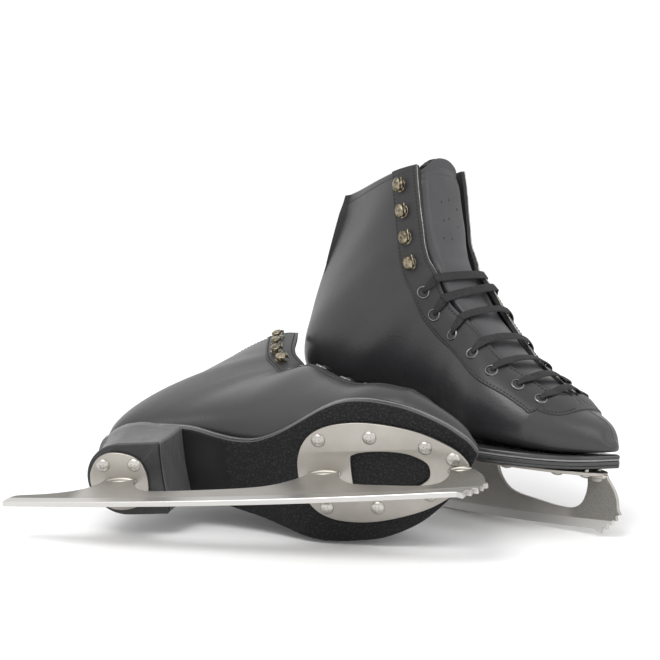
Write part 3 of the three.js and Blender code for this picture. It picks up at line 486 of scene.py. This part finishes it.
def stitches(side):
    bag = Bag()
    for s in (1, -1):
        rear = [(uo + (ui - uo) * 2.2 / max(do, 8), s * 1., do - 2.2 if do > 10 else do) for ui, uo, do in BC[::3] if do > 9]
        capsule_row(bag, rear, lift=.72)
        capsule_row(bag, [(u, s * 1., 3.0) for u in np.linspace(17.95, 4.62, 60)], lift=.78)
        top = []
        for k in (0, 1):
            p, n, t = point(4.02, s, 4.2 + 0)
            for j in range(3):
                V, F = ball(1.9, .42, .42, 6, 6, .5); x = unit(np.cross(t, n)); bag.add(place(V, p + n * (1.0 + wave(p)) + t * (j * 1.15 - 1.1) - x * 0, n, x), F)
    # the row under the collar edge
    for s in (1, -1):
        th, d = arc(17.72, s); n = int((d[-1] - 3) / 3.0)
        for k in range(n):
            a = 1.5 + k * 3.0; h = float(np.interp(a, d, th)); p = surf(17.72, s, h)[0]; q = surf(17.72, s, float(np.interp(a + .5, d, th)))[0]
            i, j = np.unravel_index(np.argmin(np.sum((G - p) ** 2, 2)), G.shape[:2]); nn = NN[i, j]; t = unit(q - p)
            t = unit(t - nn * np.dot(t, nn)); V, F = ball(1.05, .36, .36, 6, 6, .5)
            lift = .78 if d[-1] - a < 25 else .02
            bag.add(place(V, p + nn * (wave(p) + lift), nn, t), F)
    return make(side + '_stitching', bag.V, bag.F, [THREAD], side, None, 60, ())

# ------------------------------------------------------------------------- sole
SOLE_X = [-2, 30, 60, 75, 90, 105, 120, 135, 150, 160, 170, 245, 262, 275, 286]
SOLE_Z = [74, 73.5, 72.5, 71.5, 69.5, 66.5, 62.5, 56.5, 50.5, 48, 47, 47, 47.6, 49, 51]
soleZ = lambda x: np.mean([np.interp(np.asarray(x, float) + k, SOLE_X, SOLE_Z) for k in (-6, -3, 0, 3, 6)], 0)
OUTL = np.array([[-4.4, .8, -.8], [-3.4, 5, -5], [-1, 9, -9], [4, 17, -17], [13, 24, -24], [29, 28, -28], [52, 28.5, -27.5], [72, 30.5, -25.5], [90, 33.5, -20.5], [105, 37.5, -17.8],
  [120, 41, -18.5], [135, 45, -24], [150, 49.4, -32], [163, 52.2, -39.5], [178, 53.4, -47.3], [192.9, 53.2, -52], [209.2, 51.8, -52.3], [225.5, 46.5, -49],
  [239.8, 39.5, -44.3], [253.2, 29.5, -37.5], [263.8, 19.5, -30.8], [272.4, 8, -23.5], [277.7, 0, -18], [281.5, -6, -12], [282.6, -8.2, -9.8]], float)
def slab(name, levels, mats, side, reps):
    R = crom(OUTL, np.concatenate([np.linspace(0, 3, 25), np.linspace(3, 20, 120)[1:], np.linspace(20, 24, 30)[1:]]))
    loop = np.concatenate([R[:, [0, 1]], R[::-1][:, [0, 2]]]); n = len(loop); m = len(R)
    t = np.roll(loop, -1, 0) - np.roll(loop, 1, 0); nr = np.column_stack([-t[:, 1], t[:, 0]]); nr /= np.maximum(np.linalg.norm(nr, axis=1)[:, None], 1e-9)
    c = loop.mean(0)
    if np.sum((loop - c) * nr) < 0: nr = -nr
    V, F, M = [], [], []
    for inset, dz, _ in levels:
        q = loop - nr * inset; V += [(x, y, float(z) + dz) for (x, y), z in zip(q, soleZ(loop[:, 0]))]
    for k in range(len(levels) - 1):
        for i in range(n):
            j = (i + 1) % n; F.append((k * n + i, k * n + j, (k + 1) * n + j, (k + 1) * n + i)); M.append(levels[k][2])
    for b, mm in ((0, levels[0][2]), ((len(levels) - 1) * n, levels[-1][2])):
        for i in range(m - 1): F.append((b + i, b + i + 1, b + n - 2 - i, b + n - 1 - i)); M.append(mm)
    return make(name, V, F, mats, side, M, 32, reps, merge=1e-6)
def hloop(front, half, bk):
    pts = []
    for a in np.linspace(math.pi / 2, 3 * math.pi / 2, 41):
        c, s = math.cos(a), math.sin(a); pts.append((bk + 27 + 27 * c, half * s))
    for x in np.linspace(bk + 27, front - 2.2, 10)[1:]: pts.append((x, -half))
    for a in np.linspace(-math.pi / 2, 0, 6)[1:]: pts.append((front - 2.2 + 2.2 * math.cos(a), -half + 2.2 + 2.2 * math.sin(a)))
    for y in np.linspace(-half + 2.2, half - 2.2, 12)[1:]: pts.append((front - 1.3 * (1 - (y / half) ** 2), y))
    for a in np.linspace(0, math.pi / 2, 6)[1:]: pts.append((front - 2.2 + 2.2 * math.cos(a), half - 2.2 + 2.2 * math.sin(a)))
    for x in np.linspace(front - 2.2, bk + 27, 10)[1:-1]: pts.append((x, half))
    return np.array(pts)
def stack(name, rows, mats, side, reps, sharp=32):
    n = len(rows[0][0]); V, F, M = [], [], []
    for L, zs, _ in rows: V += [(x, y, z) for (x, y), z in zip(L, np.broadcast_to(zs, len(L)))]
    for k in range(len(rows) - 1):
        for i in range(n):
            j = (i + 1) % n; F.append((k * n + i, k * n + j, (k + 1) * n + j, (k + 1) * n + i)); M.append(rows[k][2])
    for k in (0, len(rows) - 1):
        V.append(tuple(np.mean(V[k * n:(k + 1) * n], 0))); c = len(V) - 1
        for i in range(n): F.append((k * n + i, k * n + (i + 1) % n, c)); M.append(rows[k][2])
    return make(name, V, F, mats, side, M, sharp, reps)

# ------------------------------------------------------------- blades and plates
rocker = lambda x: (x - 115) ** 2 / 4400
BLADE_P = [(-52, rocker(-52))] + [(x, rocker(x)) for x in range(-47, 271, 8)] + [(273.5, 5.4), (278, 2.9), (279.8, 8.2), (283.2, 6.6), (284, 11.2), (287.6, 10.0), (287.6, 14.4), (290.6, 13.9), (289.8, 17.6), (293.1, 18.7)]
_s1 = [(293.1, 18.7), (290.6, 22.5), (289.4, 29), (286, 36), (281.5, 41.5), (279.5, 43.9)]
_s2 = [(263.4, 43.9), (264.6, 38), (264.0, 30), (260.5, 22), (253, 17.8), (240, 17.4), (222, 19.3), (206, 21.4), (197, 24.5), (190, 31), (186.5, 38), (185.6, 43.9)]
_s3 = [(164.2, 43.9), (161, 38), (154, 31), (143, 24.5), (128, 20.6), (100, 18.6), (60, 18.2), (48, 20.5), (41, 27), (37.6, 34), (36.6, 39.9)]
_s4 = [(13.6, 39.9), (11, 33), (4, 26), (-8, 21), (-24, 18), (-43, 16.9), (-47.5, 15), (-50.6, 11), (-52, rocker(-52))]
def poly_blade():
    P = list(BLADE_P)
    for s in (_s1, _s2, _s3, _s4): P += [tuple(p) for p in crom(np.array(s, float), np.linspace(0, len(s) - 1, 5 * (len(s) - 1) + 1))]
    out = [P[0]]
    for p in P[1:]:
        if math.hypot(p[0] - out[-1][0], p[1] - out[-1][1]) > .25: out.append(p)
    if math.hypot(out[0][0] - out[-1][0], out[0][1] - out[-1][1]) < .3: out.pop()
    return out
def plate_solid(name, loops, t, bev, z0, side, mats, reps, upright=False):
    cu = bpy.data.curves.new(name + '_c', 'CURVE'); cu.dimensions = '2D'; cu.fill_mode = 'BOTH'
    cu.extrude = t / 2 - bev; cu.bevel_depth = bev; cu.bevel_resolution = 2; cu.offset = -bev
    for L in loops:
        s = cu.splines.new('POLY'); s.points.add(len(L) - 1)
        for i, (x, y) in enumerate(L): s.points[i].co = (x, y, 0, 1)
        s.use_cyclic_u = True
    ob = bpy.data.objects.new(name + '_c', cu); bpy.context.scene.collection.objects.link(ob); bpy.context.view_layer.update()
    me = bpy.data.meshes.new_from_object(ob.evaluated_get(bpy.context.evaluated_depsgraph_get()))
    V = np.array([v.co[:] for v in me.vertices]); F = [tuple(p.vertices) for p in me.polygons]
    bpy.data.objects.remove(ob); bpy.data.curves.remove(cu); bpy.data.meshes.remove(me)
    V = np.column_stack([V[:, 0], -V[:, 2], V[:, 1]]) if upright else V + [0, 0, z0 + t / 2]
    return make(name, V, F, mats, side, None, 30, reps, merge=2e-6)
def poly_solid(name, P, t, bev, side, mats, reps):
    from mathutils.geometry import tessellate_polygon
    P = np.array(P, float); a = P - np.roll(P, 1, 0); b = np.roll(P, -1, 0) - P
    a /= np.linalg.norm(a, axis=1)[:, None]; b /= np.linalg.norm(b, axis=1)[:, None]
    area2 = np.sum(P[:, 0] * np.roll(P[:, 1], -1) - np.roll(P[:, 0], -1) * P[:, 1]); sg = 1 if area2 > 0 else -1
    n = np.column_stack([-(a[:, 1] + b[:, 1]), a[:, 0] + b[:, 0]]) * sg; n /= np.maximum(np.linalg.norm(n, axis=1)[:, None], 1e-9)
    I = P + n * bev; m = len(P)
    V = [(x, -t / 2, z) for x, z in I] + [(x, -t / 2 + bev, z) for x, z in P] + [(x, t / 2 - bev, z) for x, z in P] + [(x, t / 2, z) for x, z in I]
    F = [(k * m + i, k * m + (i + 1) % m, (k + 1) * m + (i + 1) % m, (k + 1) * m + i) for k in range(3) for i in range(m)]
    for tri in tessellate_polygon([[Vector((x, z, 0)) for x, z in I]]):
        F.append(tuple(tri)); F.append(tuple(3 * m + i for i in tri[::-1]))
    return make(name, V, F, mats, side, None, 28, reps)
FRONT_HALF = [[156, 5], [157.2, 13], [161, 22], [168, 30], [179, 35.3], [194, 37.6], [211, 37], [232, 32.8], [248, 27.4], [262, 19.8], [271, 13.2], [276, 6.5], [277.2, 2]]
HEEL_HALF = [[2.4, 2.5], [4, 9], [9.5, 17.3], [18, 22], [28, 22], [37, 19.2], [42.5, 14.5], [45, 8], [45.8, 2.5]]
FRONT_HOLE = [[194.6, 10], [197.5, 14], [206, 15.6], [219, 15.6], [232, 14], [242, 10.2], [248.8, 4.5]]
def both(half):
    L = np.array(half + [[x, -y] for x, y in half[::-1]], float); A = np.vstack([L[-1], L, L[0], L[1]])
    C = crom(A, np.linspace(1, len(L) + 1, 6 * len(L) + 1)[:-1]); return [tuple(c) for c in C]
FRONT_SCREWS = [[173.5, 25.6], [210, 26.4], [248, 17.6], [266.5, 8.6]]; HEEL_SCREWS = [[14, 13], [37.5, 12.6]]

# ------------------------------------------------------------ eyelets, hooks, lace
EYE_U = [4.92, 5.85, 6.8, 7.72, 8.8, 9.8, 10.8]; HOOK_U = [12.8, 14.3, 15.7, 17.1]; EYE_D = 16
def eyelets(side, s, name):
    bag = Bag()
    prof = [(0, -.6), (5.0, -.6), (5.1, .1), (4.85, .5), (4.4, .78), (3.9, .66), (3.65, .2), (3.55, -.15), (0, -.2)]
    V, F, rows = lathe(prof, 28)
    # the bore and floor of each eyelet (profile rows 6 on) take the near-black material: painted shade inside the hole
    for u in EYE_U:
        p, n, t = point(u, s, EYE_D); bag.add(place(V, p + n * (.95 + wave(p)), n, t), F, [1 if r >= 6 else 0 for r in rows])
    return make(side + name, bag.V, bag.F, [EYE, PAINTED_SHADE], side, bag.M, 40, (side + '_eyelet_row_' + ('outer' if s > 0 else 'inner'),))
def hooks(side, s, name):
    bag = Bag()
    for u in HOOK_U:
        p, n, t = point(u, s, EYE_D); p = p + n * (.9 + wave(p)); x = unit(np.cross(t, n))
        fr = point(u, s, EYE_D - 4)[0] - point(u, s, EYE_D)[0]; fr = unit(fr - n * np.dot(fr, n))
        V, F = ball(5.4, 5.0, .75, 24, 8, .6); bag.add(place(V, p + n * .1, n, t), F)
        V, F = ball(3.9, 2.6, 2.6, 18, 8, .6); bag.add(place(V, p + n * 1.7 - fr * 1.3, n, t), F)
        V, F = ball(5.5, 4.3, 1.75, 24, 12, .75); nn = unit(n - fr * .16); bag.add(place(V, p + n * 3.9 - fr * .5, nn, unit(t - nn * np.dot(t, nn))), F)
        V, F = ball(4.9, .8, 1.35, 18, 8, .7); bag.add(place(V, p + n * 3.7 + fr * 4.7, n, t), F)        # bent front edge
        V, F = box(6.2, .9, 1.0); bag.add(place(V, p + n * 4.35 + fr * 3.55, n, t), F, 1)               # painted shade: near-black box where the slot behind the bent edge lies in shade
    return make(side + name, bag.V, bag.F, [BRASS, PAINTED_SHADE], side, bag.M, 45, (side + '_hook_row_' + ('outer' if s > 0 else 'inner'),))
LACE_LEN = {}
def lace(side):
    pts, wid, wdir, hh = [], [], [], []
    def bar(k, s0):
        u = EYE_U[k]; out = []
        A, B = (point(u, s0, EYE_D), point(u, -s0, EYE_D)); ea, eb = point(u, s0, 0), point(u, -s0, 0)
        t = unit(A[2] + B[2]); mid = (ea[0] + eb[0]) / 2; o = unit([ea[1][0] + eb[1][0], 0, ea[1][2] + eb[1][2]])
        def half(e, sg):
            r = []
            for d, h, w in ((EYE_D, -3.0, 2.4), (EYE_D - .2, -.2, 2.5), (EYE_D - .9, 1.5, 3.2), (11.4, 2.45, 4.9), (7, 2.35, 6.6), (3, 2.4, 7.0), (0, 2.3, 7.1)):
                p, n, _ = point(u, sg, d); r.append((p + n * (h + wave(p)), w))
            return r
        a, b = half(A, s0), half(B, -s0)
        m = []
        for f in (.25, .5, .75):
            q = a[-1][0] + (b[-1][0] - a[-1][0]) * f; q = q + o * (3.4 * 4 * f * (1 - f) + 0.6)
            m.append((q, 7.2))
        for p, w in a + m + b[::-1]: out.append((p, w, t, 1.6 if w > 3.1 else 1.1))
        return out
    s = 1; allp = []
    for k in range(7):
        allp += bar(k, s); s = -s
        if k < 6:
            u0, u1 = EYE_U[k], EYE_U[k + 1]
            for f in (.2, .5, .8):
                p, n, t = point(u0 + (u1 - u0) * f, s, EYE_D); allp.append((p - n * 3.1, 2.4, unit(np.cross(t, n)), .7))
    A = np.array([[*p, w, *t, h] for p, w, t, h in allp]); C, L = curve(A, .55); LACE_LEN[side] = L
    P = C[:, :3]; w = C[:, 3]; W = C[:, 4:7]; h = C[:, 7] * (1 + .10 * np.cos(np.arange(len(C)) * math.pi))
    V, F = sweep(P, W, w, h, 12)
    V = np.array(V) * .001
    if side == 'right': V = V * [1, -1, 1]; F = [f[::-1] for f in F]
    me = bpy.data.meshes.new(side + '_lace_band'); me.from_pydata(V.tolist(), [], F); me.materials.append(LACE)
    uv = me.uv_layers.new(name='UV'); n = 12
    for li, lp in enumerate(me.loops):
        k, i = divmod(lp.vertex_index, n); uv.data[li].uv = (k * .55 * .006, abs(((i / n) * 2) - 1))
    fix(me, 60); return link(side + '_lace_band', me, side, 'skate_' + side, (side + '_lace',))

# ---------------------------------------------------------------------- tongues
PIV = np.array([129., 0, 177.])
def tloop(u, top=0., up_w=None):
    e1, n1, _ = point(u, 1, 0); e0, n0, _ = point(u, -1, 0); n2 = unit([n1[0] + n0[0], 0, n1[2] + n0[2]])
    T = crom(ST, np.array([u + 1]))[0]; dr = unit([T[2] - T[0], 0, T[3] - T[1]])
    mid = (e1 + e0) / 2; g = (e1[1] - e0[1]) / 2
    def P(y, h, out): return mid + np.array([0, y, 0]) + out * h + np.array([0, 0, top])
    g1 = g - 3.9
    def tuck(s):
        r = []
        for d in (1.2, 13):
            p, n, _ = point(u, s, d); r += [p - n * 5.6, p - n * 7.6]
        return r
    L, R = tuck(1), tuck(-1)
    A = [P(0, 1.6, n2), P(g1 * .7, .3, n2), P(g1, -2.4, n2), L[0], L[2], L[3], L[1], P(0, -5.6, n2), R[1], R[3], R[2], R[0], P(-g1, -2.4, n2), P(-g1 * .7, .3, n2)]
    o = unit([dr[0], 0, dr[2] * .4]); b = float(np.interp(u, [11, 13, 18], [3, 4, 1])); g2 = g - 6.0
    B = [P(0, b, o), P(g2 * .5, b * .8, o), P(g2 * .82, b * .35, o), P(g2 * .97, -2.5, o), P(g2, -6, o), P(g2 * .97, -9, o), P(g2 * .8, b * .35 - 6.5, o), P(0, b - 5.5, o),
         P(-g2 * .8, b * .35 - 6.5, o), P(-g2 * .97, -9, o), P(-g2, -6, o), P(-g2 * .97, -2.5, o), P(-g2 * .82, b * .35, o), P(-g2 * .5, b * .8, o)]
    w = sm(np.array((u - 10.2) / 1.7)); w = float(w)
    return np.array(A) * (1 - w) + np.array(B) * w
def tongue(side):
    rows = [tloop(u) for u in np.concatenate([np.linspace(5.1, 16, 76), np.linspace(16, 18, 26)[1:]])]
    rows += [tloop(18, h) for h in (.8, 1.6, 2.4, 3.2, 4.0, 4.8, 5.6, 6.2)]
    last = rows[-1]; c = last.mean(0)
    for sh, z in ((.985, .45), (.94, .8), (.86, 1.0)):
        q = c + (last - c) * [sh, 1 - (1 - sh) * .35, 1]; rows.append(q + [0, 0, z])
    first = rows[0]; c0 = first.mean(0); rows = [c0 + (first - c0) * .7 + [1.2, 0, -.6]] + rows
    n = 14; X = np.linspace(0, n, 57)[:-1]
    fine = []
    for L in rows:
        A = np.vstack([L[-1], L, L[0], L[1]]); fine.append(crom(A, X + 1))
    Gt = np.array(fine)
    mid = Gt[:, 0]; dtop = np.concatenate([np.cumsum(np.linalg.norm(np.diff(mid, axis=0), axis=1)[::-1])[::-1], [0]])
    cen = Gt.mean(1, keepdims=True); dirc = Gt - cen; dirc /= np.maximum(np.linalg.norm(dirc, axis=2, keepdims=True), 1e-9)
    hem = (-.75 * np.exp(-((dtop - 14) / .7) ** 2) + .25 * np.exp(-((dtop - 12.2) / 1.3) ** 2))[:, None, None]
    puff = (.35 * np.sin(mid[:, 2] / 6.5) * sm((mid[:, 2] - 150) / 30))[:, None, None]
    Gt = Gt + dirc * (hem + puff)
    yy = abs(Gt[..., 1]) / np.maximum(abs(Gt[..., 1]).max(1, keepdims=True), 1e-6)
    Gt[..., 2] -= 11.5 * yy ** 2.4 * sm(1 - dtop / 26)[:, None]
    a, b = np.array([137., 0, 170.]), np.array([124., 0, 192.]); ax = b - a
    def bend(V):
        if side != 'left': return V
        w = sm(((V - a) @ ax) / (ax @ ax)); ang = -np.radians(12) * w; d = V - PIV
        c, s = np.cos(ang), np.sin(ang)
        return PIV + np.column_stack([d[:, 0] * c + d[:, 2] * s, d[:, 1], -d[:, 0] * s + d[:, 2] * c])
    m, k = Gt.shape[:2]; V = list(Gt.reshape(-1, 3)); F, M = [], []
    for r in range(m - 1):
        for i in range(k):
            j = (i + 1) % k; F.append((r * k + i, r * k + j, (r + 1) * k + j, (r + 1) * k + i)); M.append(0)
    for r in (0, m - 1):
        V.append(Gt[r].mean(0)); c = len(V) - 1
        for i in range(k): F.append((r * k + i, r * k + (i + 1) % k, c)); M.append(0)
    # perforation dots on the front, below the hem, as near-black discs: painted shade for the holes
    dots = [(34, -3), (34.8, 7), (39, -13.5), (49, -1), (50, 8), (54, -9.5), (64, 1.5), (64, 10)]
    for dz, y in dots:
        r = int(np.argmin(abs(dtop - dz))); row = Gt[r]
        fr = [i for i in range(k) if i <= 12 or i >= k - 12]; i = min(fr, key=lambda i: abs(row[i][1] - y))
        p = row[i]; t1 = unit(Gt[r + 1][i] - Gt[r - 1][i]); t2 = unit(row[(i + 1) % k] - row[i - 1]); nn = unit(np.cross(t1, t2))
        if np.dot(nn, p - Gt[r].mean(0)) < 0: nn = -nn
        v, f, _ = lathe([(0, -.3), (.85, -.3), (.85, .06), (0, .06)], 12); o = len(V); V += list(place(v, p, nn, t1)); F += [tuple(x + o for x in q) for q in f]; M += [1] * len(f)
    V = world(side, bend(np.array(V)))
    if side == 'right': F = [f[::-1] for f in F]
    me = bpy.data.meshes.new(side + '_tongue_soft'); me.from_pydata(V.tolist(), [], F); me.materials.append(TONGUE); me.materials.append(PAINTED_SHADE)
    me.polygons.foreach_set('material_index', M); fix(me, 60)
    ob = link(side + '_tongue_soft', me, side, None, (side + '_tongue_lower', side + '_tongue_upper'), matrix=False)
    st, en = world(side, [a])[0], world(side, [b])[0]
    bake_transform(ob)
    return ob

def footbed(side):
    rows = np.array([[16, 9], [24, 12], [38, 14], [62, 14.5], [90, 13], [118, 11], [146, 13], [170, 21], [200, 27], [224, 25], [238, 18], [247, 12]], float)
    R = crom(rows, np.linspace(0, 11, 67)); V, F = [], []; n = 14
    for x, w in R:
        z = float(soleZ(x)) + 19.9 + float(np.interp(x, [16, 70, 200], [6, 5, 1.2])); y = float(np.interp(x, [0, 200, 240, 270], [0, 0, -2.5, -6]))
        for i in range(n):
            a = 2 * math.pi * i / n; c, s = math.cos(a), math.sin(a); V.append((x, y + w * np.sign(c) * abs(c) ** .4, z + 1.2 + 1.2 * np.sign(s) * abs(s) ** .6 + .8 * abs(c) ** 4))
    for r in range(len(R) - 1):
        for i in range(n): F.append((r * n + i, r * n + (i + 1) % n, (r + 1) * n + (i + 1) % n, (r + 1) * n + i))
    F.append(tuple(range(n - 1, -1, -1))); F.append(tuple((len(R) - 1) * n + i for i in range(n)))
    return make(side + '_footbed_pad', V, F, [FOOT], side, None, 50, (side + '_insole',))

# --------------------------------------------------------------------- assembly
def skate(side):
    shell(side + '_upper_leather', OUT_O, OUT_I, 0, int(np.argmax(US >= 1)), [LEATHER, LINING], 1, side, (side + '_upper',), 0)
    shell(side + '_lining_leather', LIN_O, LIN_I, int(np.argmax(US >= 2)), int(np.argmax(US >= 3)), [LINING], 0, side, (side + '_lining',))
    facing(side); stitches(side); tongue(side); footbed(side)
    for s, nm in ((1, 'outer'), (-1, 'inner')): eyelets(side, s, '_eyelets_' + nm); hooks(side, s, '_hooks_' + nm)
    lace(side)
    slab(side + '_outsole_rubber', [(2.0, -.02, 0), (.9, .05, 0), (.25, .45, 1), (0, 1.0, 1), (0, 2.05, 1), (.45, 2.35, 1), (0, 2.65, 1), (0, 4.6, 1), (.45, 5.1, 1), (1.2, 5.2, 1)], [RUBBER, EDGE], side, (side + '_outsole',))
    slab(side + '_midsole_welt', [(1.6, 5.2, 0), (.9, 5.3, 0), (.3, 5.7, 1), (.2, 6.6, 1), (.7, 6.95, 0), (.25, 7.3, 0), (.25, 8.6, 0), (.7, 9.35, 0), (1.6, 9.75, 0), (3.0, 9.95, 0)], [EDGE, EDGE_LIGHT], side, (side + '_midsole',))
    rows = []
    for z, fr, h, b, m in ((46.2, 56.9, 26.7, 0, 0), (46.5, 57.5, 27.2, -.5, 0), (53, 59.6, 27.05, .2, 0), (60, 62, 27.0, .6, 0), (67, 63.9, 27.5, .2, 0)): rows.append((hloop(fr, h, b), z, m))
    L = hloop(66, 28.2, -.9); sx = soleZ(L[:, 0]); rows.append((L, sx - .5, 0))
    f = sm(1 - (L[:, 0] - 34) / 28)
    C = crom(OUTL, np.linspace(0, 8, 400))
    def wrap(L, grow):
        o = L.copy()
        for i, (x, y) in enumerate(L):
            if x < 60:
                w = np.interp(x, C[:, 0], C[:, 1]) if y > 0 else -np.interp(x, C[:, 0], C[:, 2])
                o[i, 1] = math.copysign(max(abs(y), w + grow if x > 6 else abs(y)), y)
            if x < 6: o[i, 0] = x - grow * 4.5
        return o
    Lw = wrap(L, .7)
    rows.append((L + (Lw - L) * f[:, None], sx + 2.2 * f - .4, 0)); rows.append((L + (Lw - L) * f[:, None], sx + 8.4 * f - .3, 0)); rows.append((L + (Lw - L) * f[:, None] * .6 - (L - L.mean(0)) * .012, sx + 9.6 * f - .2, 0))
    stack(side + '_heel_cover', rows, [HEEL], side, (side + '_heel_block',))
    stack(side + '_heel_top_lift', [(hloop(56.4, 26.8, -.2), 42.85, 0), (hloop(57, 27.4, -.8), 43.3, 0), (hloop(57.2, 27.4, -.8), 45.5, 0), (hloop(56.8, 27.0, -.4), 45.9, 0)], [LIFT], side, (side + '_heel_lift',))
    poly_solid(side + '_blade_runner', poly_blade(), 4.0, .3, side, [BLADE], (side + '_blade',))
    plate_solid(side + '_front_plate_v', [both(FRONT_HALF), both(FRONT_HOLE)[::-1]], 2.5, .7, 44.0, side, [PLATE], (side + '_front_plate',))
    plate_solid(side + '_heel_plate_v', [both(HEEL_HALF)], 2.5, .7, 40.0, side, [PLATE], (side + '_heel_plate',))
    bag = Bag()
    for x0, x1, z in ((163.5, 186.5, 43.7), (262.5, 280, 43.7), (13, 37, 39.7)):
        V, F = ball((x1 - x0) / 2 + .6, 3.9, 2.3, 20, 12, .55); bag.add(V + [(x0 + x1) / 2, 0, z], F)
        V, F = ball((x1 - x0) / 2 - 1.5, 2.9, 3.2, 20, 12, .6); bag.add(V + [(x0 + x1) / 2, 0, z - 1.6], F)
    make(side + '_stanchion_roots', bag.V, bag.F, [PLATE], side, None, 50, ())
    k = 0
    for where, spots, z in (('front', FRONT_SCREWS, 44.0), ('heel', HEEL_SCREWS, 40.0)):
        n = 0
        for x, y in spots:
            for sg in (1, -1):
                n += 1; bag = Bag()
                V, F, _ = lathe([(0, -2.35), (1.2, -2.28), (2.4, -2.05), (3.5, -1.6), (4.4, -.95), (4.9, -.4), (4.95, -.05), (1.9, -.03), (1.9, 5.2), (0, 8.0)], 28); bag.add(V, F, 0)
                a = .5 + 1.7 * n
                # cross recess as near-black boxes: painted shade in the recess
                for q in (0, math.pi / 2):
                    v, f = box(4.0, .6, .7); c, s = math.cos(a + q), math.sin(a + q)
                    v = np.column_stack([v[:, 0] * c - v[:, 1] * s, v[:, 0] * s + v[:, 1] * c, v[:, 2] - 1.86]); bag.add(v, f, 1)
                make('%s_%s_screw_v%d' % (side, where, n), np.array(bag.V) + [x, y * sg, z], bag.F, [SCREW, PAINTED_SHADE], side, bag.M, 35, ('%s_%s_screw_%d' % (side, where, n),))
    hc = frame['nodes'][side + '_heel_counter']; keep_loc(hc.data); hc.data.materials.clear(); hc.data.materials.append(COUNTER)
for s in ('left', 'right'): skate(s)
print('LACE', LACE_LEN)

# ---------------------------------------------------------------- floor and light
me = bpy.data.meshes.new('floor'); me.from_pydata([(-9, -6, 0), (9, -6, 0), (9, 14, 0), (-9, 14, 0)], [], [(0, 1, 2, 3)])
fm = Mat('studio_white', (.93, .93, .93), .9, spec=.1); me.materials.append(fm.m)
floor = bpy.data.objects.new('floor', me); bpy.context.scene.collection.objects.link(floor)
w = bpy.data.worlds.new('studio'); bpy.context.scene.world = w; w.use_nodes = True
w.node_tree.nodes['Background'].inputs[0].default_value = (1, 1, 1, 1); w.node_tree.nodes['Background'].inputs[1].default_value = 1.12
def area(name, loc, aim, size, energy):
    L = bpy.data.lights.new(name, 'AREA'); L.shape = 'RECTANGLE'; L.size, L.size_y = size; L.energy = energy
    o = bpy.data.objects.new(name, L); o.location = loc; o.rotation_euler = (Vector(aim) - Vector(loc)).to_track_quat('-Z', 'Y').to_euler()
    bpy.context.scene.collection.objects.link(o); return o
area('key', (-.5, -.9, 1.5), (0, .05, .1), (.9, .7), 13)
area('fill', (1.2, -.6, .9), (.1, 0, .1), (.5, .8), 3)
cam = bpy.data.cameras.new('cam'); cam.sensor_width = 36; cam.lens = 92.36; cam.dof.use_dof = False; cam.clip_end = 60
co = bpy.data.objects.new('cam', cam); co.location = (.01092, -1.24627, .31746); co.rotation_euler = (math.radians(82), 0, 0)
bpy.context.scene.collection.objects.link(co); bpy.context.scene.camera = co
bpy.context.scene.view_settings.view_transform = 'Standard'
